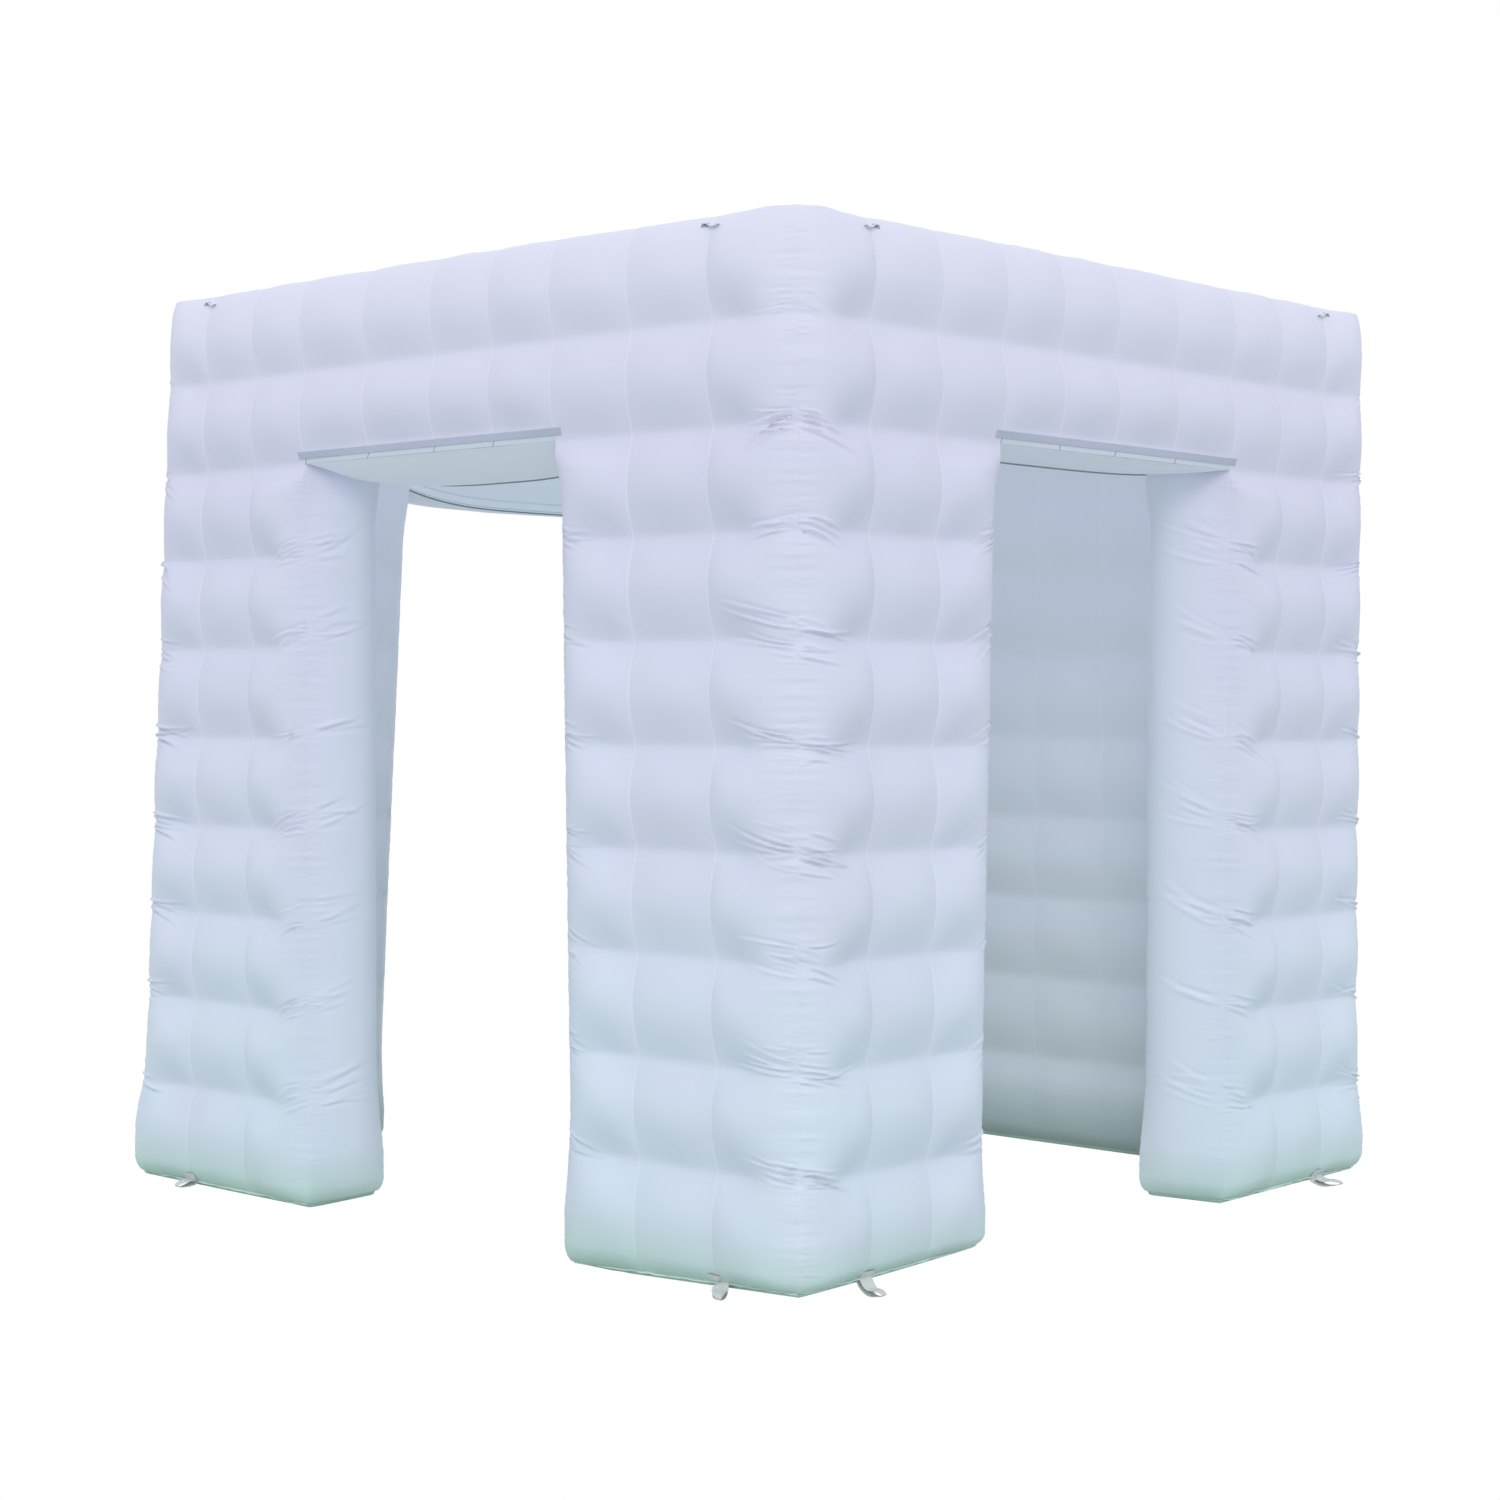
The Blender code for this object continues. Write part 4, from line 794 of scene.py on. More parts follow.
def on_panel(name, u, v, raised=0.0):
    """Points over a sewn panel at positions on its pattern, raised off its cloth."""
    points, across, up = PANELS[name]
    u, v = np.broadcast_arrays(np.asarray(u, float), np.asarray(v, float))
    i = np.clip(np.searchsorted(across, u) - 1, 0, len(across) - 2)
    j = np.clip(np.searchsorted(up, v) - 1, 0, len(up) - 2)
    s = ((u - across[i]) / (across[i + 1] - across[i]))[..., None]
    t = ((v - up[j]) / (up[j + 1] - up[j]))[..., None]
    a, b, c, d = points[j, i], points[j, i + 1], points[j + 1, i], points[j + 1, i + 1]
    where = (a * (1 - s) + b * s) * (1 - t) + (c * (1 - s) + d * s) * t
    normal = np.cross((b - a) * (1 - t) + (d - c) * t, (c - a) * (1 - s) + (d - b) * s)
    normal /= np.linalg.norm(normal, axis=-1, keepdims=True)
    return where + normal * np.asarray(raised)[..., None]


def on_wall(wall, u, v, raised=0.0):
    """The same over a whole wall, whichever panels the positions are on."""
    u, v = np.broadcast_arrays(np.asarray(u, float), np.asarray(v, float))
    raised = np.broadcast_to(raised, u.shape)
    where = np.zeros((*u.shape, 3))
    for name, start, end, low in cuts_of(wall):
        part = (u >= start) & (u <= end) & (v >= low)
        where[part] = on_panel(name, u[part], v[part], raised[part])
    return where


def soft_edged(low, high, soft, count):
    """Places from one edge of a strip to the other, and the share of its thickness at each."""
    inner = np.linspace(low + soft, high - soft, count)
    places = np.array(
        [low, low + 0.05 * soft, low + 0.35 * soft, *inner, high - 0.35 * soft, high - 0.05 * soft, high])
    return places, np.array([-0.3, 0.35, 0.8, *np.ones(count), 0.8, 0.35, -0.3])


def sewn_strip(name, over, start, end, low, high, thick, material, spacing=0.008):
    """A flat strip sewn onto a wall, its edges rounded and pressed into the cloth."""
    soft = min(0.0014, (high - low) / 4)
    v, over_v = soft_edged(low, high, soft, 5)
    u, over_u = soft_edged(start, end, soft, max(3, round((end - start) / spacing)))
    raised = thick * np.minimum(over_v[:, None], over_u[None, :])
    return sheet_object(name, on_wall(over, u[None, :], v[:, None], raised), u, v, material)


def along_path(places, count):
    """A smooth line through a few places, with evenly spread points."""
    places = np.asarray(places, float)
    ends = np.concatenate([[2 * places[0] - places[1]], places, [2 * places[-1] - places[-2]]])
    fine = []
    for a, b, c, d in zip(ends, ends[1:], ends[2:], ends[3:]):
        t = np.linspace(0, 1, 12, endpoint=False)[:, None]
        square, cube = (2 * a - 5 * b + 4 * c - d) * t ** 2, (3 * b - a - 3 * c + d) * t ** 3
        fine.append(0.5 * (2 * b + (c - a) * t + square + cube))
    fine = np.concatenate([*fine, places[-1:]])
    run = np.concatenate([[0], np.cumsum(np.linalg.norm(np.diff(fine, axis=0), axis=1))])
    at = np.linspace(0, run[-1], count)
    return np.stack([np.interp(at, run, fine[:, k]) for k in range(3)], 1), at


def squarish(wave, power):
    """A wave with flatter crests, for the section of a strap."""
    return np.abs(wave) ** power * np.sign(wave)


def webbing(name, places, across, section, material, narrowing=None):
    """A strap of a width and a thickness that follows a line through places, with rounded edges."""
    width, thick = section
    line, at = along_path(places, 60)
    ahead = np.gradient(line, axis=0)
    ahead /= np.linalg.norm(ahead, axis=1, keepdims=True)
    side = across - ahead * (ahead @ across)[:, None]
    side /= np.linalg.norm(side, axis=1, keepdims=True)
    face = np.cross(ahead, side)
    turn = np.linspace(0, 2 * np.pi, 25)
    w, h = squarish(np.cos(turn), 0.35), squarish(np.sin(turn), 0.6)
    half = width / 2 * (np.ones(len(at)) if narrowing is None else narrowing(at / at[-1]))
    sideways = side[:, None] * (w * half[:, None])[..., None]
    points = line[:, None] + sideways + face[:, None] * (h * thick / 2)[None, :, None]
    return sheet_object(name, points, w * width / 2, at, material)


def tapes(material):
    """Hook-and-loop tape along the lintels, just above their hem."""
    made = []
    for wall in DOOR_WALLS:
        name = f"tape_along_{wall}"
        tape = sewn_strip(name, wall, TAPE_START, SIDE - TAPE_START, *TAPE_LEVELS, TAPE_THICK, material)
        made.append((tape, (f"tape_{wall}",)))
    return made


def soffit_shadow_piping(material):
    """The seam along the inner edge of each lintel's underside, as a dark tube: a painted shadow line."""
    made = []
    for wall in DOOR_WALLS:
        across = np.linspace(0.004, 2 * DOOR_HALF - 0.004, 40)
        edge = on_panel(f"soffit_{wall}", across, np.full_like(across, CELL - 0.002), 0.0015)
        made.append((webbing(f"soffit_piping_{wall}", edge, Z, SHADOW_PIPING_ROUND, material), (f"soffit_{wall}",)))
    return made


def loop_seats():
    """Each wall's first and last vertical seam, where the loops are sewn: wall, end, panel and place on the pattern."""
    for wall in WALLS:
        for end, u in (("a", CELL), ("b", SIDE - CELL)):
            label = SIDE_NAMES[wall][end == "b"] if wall in DOOR_WALLS else None
            yield wall, end, f"skin_{wall}_{label}" if label else f"skin_{wall}", u


def pinched(share):
    """Width of an anchor loop along its strap: it is squeezed to a point where it turns back."""
    return 1 - 0.78 * np.exp(-(np.abs(share - 0.5) / 0.17) ** 1.5)


# How far the tip of each anchor loop in the photo lies to the side of its seam
LOOP_SKEW = {("front", "a"): 0.006, ("front", "b"): 0.058, ("right", "a"): 0.004, ("right", "b"): 0.052}
LOOP_TIP = 0.066


def anchor_loops(material):
    """Wide webbing sewn over the foot seams, hanging to the ground as flattened loops."""
    made = []
    rng = np.random.default_rng(70)
    for wall, end, panel, u in loop_seats():
        across, out = WALLS[wall]
        sewn = [on_panel(panel, u, v, 0.0015) for v in (0.022, 0.011, 0.002)]
        edge = sewn[-1]
        skew = LOOP_SKEW.get((wall, end), rng.uniform(-0.02, 0.02))
        spread = (
            (0.007, 0.55 * edge[2]), (0.028, 0.0028), (0.052, ON_GROUND), (LOOP_TIP, 0.0085), (0.050, 0.0155),
            (0.026, 0.0185), (0.0085, edge[2] + 0.0035),
        )
        hanging = []
        for far, level in spread:
            x, y, _ = edge + out * far + across * skew * far / LOOP_TIP
            hanging.append(np.array([x, y, max(level, ON_GROUND)]))
        back = [on_panel(panel, u, v, 0.0040) for v in (0.010, 0.022)]
        name = f"anchor_webbing_{wall}_{end}"
        loop = webbing(name, [*sewn, *hanging, *back], across, ANCHOR_STRAP, material, pinched)
        made.append((loop, (f"anchor_loop_{wall}_{end}",)))
    return made


# Which way the tie loops of each wall point from their seam, their level, and the run of their strip
TIE_HEADING = {"front": (1, 1), "right": (-1, -1), "back": (-1, 1), "left": (-1, 1)}
TIE_LEVEL = SIDE - 0.022
TIE_RUN = (
    (-0.024, 0.001), (-0.013, 0.0005), (-0.003, -0.0045), (0.010, -0.0085), (0.024, -0.0100), (0.035, -0.0088),
)


def tie_loops(webbing_finish, tab_finish):
    """Narrow loops near the roof: a sewn tab, and a strip that stands on its edge beside it."""
    made = []
    for wall, end, panel, u in loop_seats():
        way = TIE_HEADING[wall][end == "b"]
        low, high = sorted((u - way * 0.030, u - way * 0.011))
        tab = sewn_strip(
            f"tie_tab_{wall}_{end}", wall, low, high, TIE_LEVEL - 0.005, TIE_LEVEL + 0.0055, TIE_TAB_THICK,
            tab_finish, 0.004,
        )
        strip = [on_panel(panel, u + way * ahead, TIE_LEVEL + rise, 0.0052) for ahead, rise in TIE_RUN]
        loop = webbing(f"tie_webbing_{wall}_{end}", strip, WALLS[wall][1], TIE_STRAP, webbing_finish)
        made += [(piece, (f"tie_loop_{wall}_{end}",)) for piece in (loop, tab)]
    return made


# The rolled edge of a foot's hem: how far out each line lies, and how high
HEM_EDGE = ((-0.2, 0.005), (0.4, 0.0035), (0.85, 0.0012), (1.0, 0.0), (0.98, -0.0012), (0.6, -0.0012), (-0.2, 0.0))


def foot_hems(cloth):
    """The scalloped edge of each outer leg's cloth, which stands out along the foot seam."""
    made = []
    for number, (wall, (_, out)) in enumerate(WALLS.items()):
        for name, start, end, low in cuts_of(wall):
            if low > 0:
                continue
            u = np.linspace(start + 0.003, end - 0.003, round((end - start) / 0.005))
            seam = on_panel(name, u, np.full_like(u, 0.0005))
            fade = smooth(0, 0.02, u - start) * smooth(0, 0.02, end - u)
            scallop = 0.003 * np.abs(np.sin(np.pi * u / 0.052))
            wave = 0.003 + (0.006 + 0.004 * value_noise(60 + number, 0.035, u) + scallop) * fade
            lift = 0.002 * value_noise(66 + number, 0.03, u)
            rows = []
            for far, level in HEM_EDGE:
                ring = seam + out * (wave * far)[:, None]
                ring[:, 2] = np.maximum(ring[:, 2] + level + lift, 0.0030 + level)
                rows.append(ring)
            hem = f"foot_hem_{name.removeprefix('skin_')}"
            made.append((sheet_object(hem, np.array(rows)[::-1], u, np.arange(len(rows)) * 0.003, cloth), (name,)))
    return made


def foot_plans(inset):
    """The outlines of the three feet, drawn in by inset from the walls' seams."""
    outer, inner, door = HALF - inset, INNER_HALF + inset, DOOR_HALF + inset
    corner = [(door, -outer), (outer, -outer), (outer, -door), (inner, -door), (inner, -inner), (door, -inner)]
    side = [(inner, door), (outer, door), (outer, outer)]
    back = side + [(-x, y) for x, y in reversed(side)] + [(-inner, inner), (inner, inner)]
    return {"base_front_right": corner, "base_front_left": [(-x, y) for x, y in reversed(corner)], "base_back": back}


# From the rim of a base to its middle: how far in, how far below the seam, and the share sunk to the ground
BASE_RIM = (
    (FOOT_TUCK - 0.001, 0.003, 0), (FOOT_TUCK, -0.003, 0), (FOOT_TUCK + 0.002, -0.008, 0),
    (FOOT_TUCK + 0.008, -0.011, 0), (FOOT_TUCK + 0.018, -0.0125, 0), (FOOT_TUCK + 0.060, -0.0125, 0.45),
    (FOOT_TUCK + 0.105, 0, 1),
)


def bases(material):
    """The undersides of the feet: a rounded rim below the foot seam and a flat middle on the ground."""
    made = []
    for node, seams in foot_plans(0.0).items():
        sides = [2 + 24 * round(math.dist(a, b) / CELL) for a, b in zip(seams, seams[1:] + seams[:1])]
        rings = []
        for inset, below, sunk in BASE_RIM:
            plan = np.array(foot_plans(inset)[node])
            around = []
            for a, b, count in zip(plan, np.roll(plan, -1, axis=0), sides):
                around += [a + (b - a) * t for t in np.linspace(0, 1, count, endpoint=False)]
            around = np.array([*around, around[0]])
            ring = lean(np.concatenate([around, np.full((len(around), 1), LIFT)], 1))
            ring[:, 2] = np.maximum(ring[:, 2] + below, BASE_LEVEL) * (1 - sunk) + BASE_LEVEL * sunk
            rings.append(ring)
        run = np.concatenate([[0], np.cumsum(np.linalg.norm(np.diff(rings[0], axis=0), axis=1))])
        grid = np.array(rings)[::-1]
        up = np.arange(len(BASE_RIM)) * 0.01
        thing = sheet_object(f"{node}_rim", grid, run, up, material)
        fill = bmesh.new()
        fill.from_mesh(thing.data)
        fill.verts.ensure_lookup_table()
        for corners in tessellate_polygon([[Vector((x, y, 0)) for x, y in around[:-1]]]):
            fill.faces.new([fill.verts[k] for k in corners])
        bmesh.ops.remove_doubles(fill, verts=fill.verts[:], dist=1e-5)
        bmesh.ops.recalc_face_normals(fill, faces=fill.faces[:])
        fill.to_mesh(thing.data)
        fill.free()
        made.append((thing, (node,)))
    return made


# Nodes, and the stitches and screws that Geometry Nodes repeat

def add_node(tree, kind, settings, inputs):
    """A node with its settings, and values or links for its inputs, which go by name or number."""
    made = tree.nodes.new(kind)
    for key, value in (settings or {}).items():
        setattr(made, key, value)
    for key, value in inputs.items():
        slot = made.inputs[key.replace("_", " ") if isinstance(key, str) else key]
        value = value.socket if isinstance(value, Wire) else value
        if isinstance(value, bpy.types.NodeSocket):
            tree.links.new(value, slot)
        else:
            slot.default_value = value
    return made


class Wire:
    """A shader value that reads like arithmetic."""

    def __init__(self, tree, socket):
        self.tree, self.socket = tree, socket

    def math(self, operation, *others, first=None):
        """A Math node over this value and the others, after first where that is given."""
        values = (self, *others) if first is None else (first, self, *others)
        made = add_node(self.tree, "ShaderNodeMath", {"operation": operation}, dict(enumerate(values)))
        return Wire(self.tree, made.outputs[0])

    def __add__(self, other):
        return self.math("ADD", other)

    def __sub__(self, other):
        return self.math("SUBTRACT", other)

    def __rsub__(self, other):
        return self.math("SUBTRACT", first=other)

    def __mul__(self, other):
        return self.math("MULTIPLY", other)

    def __truediv__(self, other):
        return self.math("DIVIDE", other)

    __radd__, __rmul__ = __add__, __mul__

    def clamp(self):
        return self.math("MAXIMUM", 0.0).math("MINIMUM", 1.0)

    def off_middle(self):
        """How far a repeating count is from the middle of its repeat: 0 there and 0.5 at its ends."""
        return (self.math("FRACT") - 0.5).math("ABSOLUTE")

    def ramp(self, low, high):
        """0 at low, 1 at high, eased."""
        sizes = {"Value": self, "From Min": low, "From Max": high}
        made = add_node(self.tree, "ShaderNodeMapRange", {"interpolation_type": "SMOOTHSTEP"}, sizes)
        return Wire(self.tree, made.outputs[0])


class Tree:
    """A Geometry Nodes tree with named sizes."""

    def __init__(self, name, **sizes):
        self.group = bpy.data.node_groups.new(name, "GeometryNodeTree")
        self.group.interface.new_socket("Geometry", in_out="INPUT", socket_type="NodeSocketGeometry")
        self.group.interface.new_socket("Geometry", in_out="OUTPUT", socket_type="NodeSocketGeometry")
        self.keys = {}
        for label, (kind, value) in sizes.items():
            socket = self.group.interface.new_socket(label, in_out="INPUT", socket_type=kind)
            self.keys[label] = (socket.identifier, value)
        self.source = self.group.nodes.new("NodeGroupInput")
        self.result = self.group.nodes.new("NodeGroupOutput")

    def node(self, kind, settings=None, **inputs):
        return add_node(self.group, kind, settings, inputs)

    def size(self, label):
        return self.source.outputs[label]

    def ends_in(self, instances):
        """Real faces in their material, from the instances."""
        real = self.node("GeometryNodeRealizeInstances", Geometry=instances)
        dressed = self.node("GeometryNodeSetMaterial", Geometry=real.outputs[0], Material=self.size("Material"))
        self.group.links.new(dressed.outputs[0], self.result.inputs[0])

    def mesh_of(self, carrier, name):
        """The plain mesh that the tree makes from a carrier, which is then removed."""
        modifier = carrier.modifiers.new(name, "NODES")
        modifier.node_group = self.group
        for identifier, value in self.keys.values():
            modifier[identifier] = value
        bpy.context.view_layer.update()
        graph = bpy.context.evaluated_depsgraph_get()
        mesh = bpy.data.meshes.new_from_object(carrier.evaluated_get(graph), depsgraph=graph)
        carrier.modifiers.remove(modifier)
        bpy.data.objects.remove(carrier)
        mesh.name = name
        mesh.materials.clear()
        mesh.materials.append(self.keys["Material"][1])
        mesh.polygons.foreach_set("material_index", np.zeros(len(mesh.polygons), np.int32))
        mesh.shade_smooth()
        thing = bpy.data.objects.new(name, mesh)
        bpy.context.scene.collection.objects.link(thing)
        return thing


def stitches(name, lines, thread, length, pitch, material):
    """A row of raised stitches along each line."""
    tree = Tree(
        name, Pitch=("NodeSocketFloat", pitch), Length=("NodeSocketFloat", length), Thread=("NodeSocketFloat", thread),
        Material=("NodeSocketMaterial", material),
    )
    spots = tree.node(
        "GeometryNodeCurveToPoints", {"mode": "LENGTH"}, Curve=tree.source.outputs[0], Length=tree.size("Pitch"))
    stitch = tree.node("GeometryNodeMeshUVSphere", Segments=6, Rings=4, Radius=0.5)
    size = tree.node("ShaderNodeCombineXYZ", X=tree.size("Thread"), Y=tree.size("Thread"), Z=tree.size("Length"))
    rows = tree.node(
        "GeometryNodeInstanceOnPoints", Points=spots.outputs["Points"], Instance=stitch.outputs["Mesh"],
        Rotation=spots.outputs["Rotation"], Scale=size.outputs[0],
    )
    tree.ends_in(rows.outputs[0])
    curve = bpy.data.curves.new(f"{name}_lines", "CURVE")
    curve.dimensions = "3D"
    for line in lines:
        spline = curve.splines.new("POLY")
        spline.points.add(len(line) - 1)
        spline.points.foreach_set("co", np.concatenate([line, np.ones((len(line), 1))], 1).reshape(-1))
    carrier = bpy.data.objects.new(f"{name}_lines", curve)
    bpy.context.scene.collection.objects.link(carrier)
    return tree.mesh_of(carrier, name)


def tape_stitches(material):
    """Two rows along each tape."""
    u = np.arange(TAPE_START + 0.003, SIDE - TAPE_START - 0.003, 0.008)
    lines = []
    for wall in DOOR_WALLS:
        for level in (TAPE_LEVELS[0] + 0.0025, TAPE_LEVELS[1] - 0.0025):
            lines.append(on_wall(wall, u, np.full_like(u, level), 0.0027))
    return stitches("tape_stitches", lines, 0.0008, 0.0034, 0.0048, material)


def loop_stitches(material):
    """Rows of stitches across the sewn ends of the anchor loops and round the tabs of the tie loops."""
    lines = []
    for wall, end, panel, u in loop_seats():
        for v in (0.013, 0.019):
            across = np.linspace(u - 0.021, u + 0.021, 12)
            lines.append(on_panel(panel, across, np.full_like(across, v), 0.0052))
        way = TIE_HEADING[wall][end == "b"]
        for v in (-0.0035, 0.0040):
            across = np.linspace(u - way * 0.028, u - way * 0.013, 8)
            lines.append(on_panel(panel, across, np.full_like(across, TIE_LEVEL + v), 0.0024))
    return stitches("loop_stitches", lines, 0.0009, 0.0028, 0.0036, material)


def screw_head():
    """A pan head with a round recess, 7 mm across."""
    head = bmesh.new()
    rings = ((0.0036, 0.0), (0.0036, 0.0008), (0.0031, 0.0018), (0.0021, 0.0024), (0.0015, 0.0024), (0.0014, 0.0010))
    turns = np.linspace(0, 2 * np.pi, 18, endpoint=False)
    verts = [[head.verts.new((r * math.cos(t), r * math.sin(t), z)) for t in turns] for r, z in rings]
    for low, high in zip(verts, verts[1:]):
        for k in range(len(turns)):
            after = (k + 1) % len(turns)
            head.faces.new((low[k], low[after], high[after], high[k]))
    head.faces.new(verts[-1])
    head.normal_update()
    mesh = bpy.data.meshes.new("screw_head")
    head.to_mesh(mesh)
    head.free()
    thing = bpy.data.objects.new("screw_head", mesh)
    bpy.context.scene.collection.objects.link(thing)
    return thing


def guard_screws(material):
    """A screw in each corner of the blower's guard plate."""
    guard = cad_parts["blower_guard"]
    low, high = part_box("blower_guard")
    centre, reach = (Vector(low) + Vector(high)) / 2, (high[0] - low[0]) / 2 - 0.014
    spots = bpy.data.meshes.new("screw_places")
    places = []
    for x in (-1, 1):
        for z in (-1, 1):
            start = Vector((centre.x + x * reach, high[1] + 0.1, centre.z + z * reach))
            hit, where, _, _ = guard.ray_cast(start, Vector((0, -1, 0)))
            if hit:
                places.append(where)
    spots.from_pydata(places, [], [])
    tree = Tree("guard_screws", Screw=("NodeSocketObject", screw_head()), Material=("NodeSocketMaterial", material))
    head = tree.node("GeometryNodeObjectInfo", Object=tree.size("Screw"))
    rows = tree.node(
        "GeometryNodeInstanceOnPoints", Points=tree.source.outputs[0], Instance=head.outputs["Geometry"],
        Rotation=(-math.pi / 2, 0, 0),
    )
    tree.ends_in(rows.outputs[0])
    carrier = bpy.data.objects.new("screw_places", spots)
    bpy.context.scene.collection.objects.link(carrier)
    made = tree.mesh_of(carrier, "guard_screws")
    bpy.data.objects.remove(bpy.data.objects["screw_head"])
    return made


# Materials

class Finish:
    """One material, built around its Principled shader."""

    def __init__(self, name, colour, roughness, metallic=0.0, specular=0.5):
        self.material = bpy.data.materials.new(name)
        self.material.use_nodes = True
        self.tree = self.material.node_tree
        self.shader = self.tree.nodes["Principled BSDF"]
        for label, value in (
            ("Base Color", (*colour, 1)), ("Roughness", roughness), ("Metallic", metallic),
            ("Specular IOR Level", specular),
        ):
            self.shader.inputs[label].default_value = value

    def node(self, kind, settings=None, **inputs):
        return add_node(self.tree, kind, settings, inputs)

    def wire(self, node, output=0):
        return Wire(self.tree, node.outputs[output])

    def place(self):
        return self.node("ShaderNodeTexCoord").outputs["Object"]

    def pattern(self, label="pattern"):
        """The two coordinates of a UV map, in metres on the pattern."""
        where = self.node("ShaderNodeUVMap", {"uv_map": label})
        split = self.node("ShaderNodeSeparateXYZ", Vector=where.outputs[0])
        return self.wire(split, 0), self.wire(split, 1)

    def level(self):
        """The height over the ground."""
        return self.wire(self.node("ShaderNodeSeparateXYZ", Vector=self.place()), 2)

    def noise(self, scale, detail=2.0, roughness=0.5, stretch=None):
        source = self.place()
        if stretch:
            source = self.node("ShaderNodeMapping", Vector=source, Scale=stretch).outputs[0]
        return self.wire(
            self.node("ShaderNodeTexNoise", Vector=source, Scale=scale, Detail=detail, Roughness=roughness), "Fac")

    def mix(self, share, first, second):
        """One colour or the other by a share. A Mix node's colours are its inputs 6 and 7 and its output 2."""
        first, second = (tone if isinstance(tone, Wire) else (*tone, 1) for tone in (first, second))
        made = add_node(self.tree, "ShaderNodeMix", {"data_type": "RGBA"}, {"Factor": share, 6: first, 7: second})
        return self.wire(made, 2)

    def feed(self, label, wire):
        self.tree.links.new(wire.socket, self.shader.inputs[label])

    def colour(self, wire):
        self.feed("Base Color", wire)

    def bump(self, height, distance, strength):
        self.feed("Normal", self.wire(self.node("ShaderNodeBump", Distance=distance, Strength=strength, Height=height)))

    def rough(self, wire):
        self.feed("Roughness", wire)

    def glow(self, wire):
        self.feed("Emission Color", wire)
        self.shader.inputs["Emission Strength"].default_value = 1.0


def tinted(colour, factor, added=0.0):
    return tuple(min(1, c * factor + added) for c in colour)


# Painted tones of the cloth: bounce light from the grass at the foot, shade on the lintels' hem, and shadow along the
# dark sewn lines
PAINTED_GRASS_BOUNCE = (0.50, 0.72, 0.62)
PAINTED_HEM_SHADE = (0.56, 0.66, 0.69)
SEAM_AND_PAINTED_SHADOW = (0.17, 0.23, 0.25)

# Slant and width of the dark ticks of painted shade in the folds where the lintels' vertical seams cross their hem, and
# threads in a metre
TICK_SLANT = 0.45
TICK_WIDTH = 0.0036
WEAVE = 420.0


def quilted_cloth(name, upper, lower, seam, glow=(), lines=(), painted_shade_ticks=False, painted_doorway_shade=None, painted_foot_light_and_shade=(PAINTED_GRASS_BOUNCE, 0.14)):
    """Coated cloth: woven, a little paler along its seams, with painted sky light that makes it lilac and paler towards
    the roof, painted grass bounce that makes it greener towards the ground, and dark sewn lines that also paint shadow.

    glow is the daylight that comes through the cloth from its far side, near the ground and at the roof. The tone
    deep in a doorway is painted shade: the sewing map then holds the depth, and the daylight grows along it.
    """
    cloth = Finish(name, upper, 0.6, specular=0.3)
    u, v = cloth.pattern()
    level = cloth.level()
    # Lilac towards the roof and greener towards the ground: painted sky light and painted grass bounce
    tone = cloth.mix(level.ramp(-0.1, 2.3), lower, upper)
    mottled = cloth.noise(2.3, 3.0)
    tone = cloth.mix(mottled.ramp(0.35, 0.75) * 0.3, tone, tinted(upper, 0.95))
    sewing, _ = cloth.pattern("sewing")
    # Paler along the seams; on a jamb, darker deep in the doorway instead: painted shade
    tone = cloth.mix(sewing.ramp(0.0, 0.75) if painted_doorway_shade else sewing * 0.4, tone, painted_doorway_shade or seam)
    # Paler towards the roof: painted sky light
    tone = cloth.mix(level.ramp(2.0, 2.5) * 0.35, tone, seam)
    # Towards the ground: painted bounce light from the grass outside, and a dark band of painted shade at the inner
    # foot
    painted_foot_tone, reach = painted_foot_light_and_shade
    tone = cloth.mix((1.15 - level / reach).clamp() * 0.75, tone, painted_foot_tone)
    # Dark lines along the lintels' lower edges: seams, darkened with painted shadow
    for place, width, share in lines:
        near = (1 - (v - place).math("ABSOLUTE") / width).clamp()
        tone = cloth.mix(near * share, tone, SEAM_AND_PAINTED_SHADOW)
    # Below the tape: painted shade on the hem, and dark ticks of painted shade in its folds at the seams
    if painted_shade_ticks:
        slanted = (u - (v - DOOR_TOP) * TICK_SLANT) / CELL + 0.5
        near = (1 - slanted.off_middle() * (CELL / TICK_WIDTH)).clamp()
        below = v.math("LESS_THAN", TAPE_LEVELS[0])
        tone = cloth.mix(below * 0.5, tone, PAINTED_HEM_SHADE)
        tone = cloth.mix(near * below * 0.85, tone, SEAM_AND_PAINTED_SHADOW)
    cloth.colour(tone)
    grain = cloth.noise(900.0, 2.0)
    crumple = cloth.noise(26.0, 4.0, 0.55)
    weave = (u * WEAVE).off_middle() + (v * WEAVE).off_middle()
    cloth.bump(0.10 * grain + 0.75 * crumple + 0.05 * weave, 0.0012, 0.45)
    cloth.rough(0.6 + 0.25 * (crumple - 0.5))
    if glow:
        low, high = glow
        light = cloth.mix(level.ramp(0.1, 2.4), tinted(lower, low), tinted(upper, high))
        cloth.glow(cloth.mix(sewing.ramp(-0.1, 0.6), (0.0, 0.0, 0.0), light) if painted_doorway_shade else light)
    return cloth.material


def woven_strap(name, colour, shade, pitch=0.0016, depth=0.0004):
    """Webbing: ribs across the strap that step over each other."""
    strap = Finish(name, colour, 0.8, specular=0.25)
    u, v = strap.pattern()
    rib = (u / pitch).off_middle()
    step = (v / pitch + rib * 1.4).off_middle()
    ribs = rib * 0.8 + step * 1.2
    # Darker in the grooves between the ribs: painted shade
    strap.colour(strap.mix(ribs.ramp(0.1, 0.75), shade, colour))
    fuzz = strap.noise(1500.0, 2.0)
    strap.bump(ribs + fuzz * 0.4, depth, 0.8)
    strap.rough(fuzz * 0.15 + 0.72)
    return strap.material


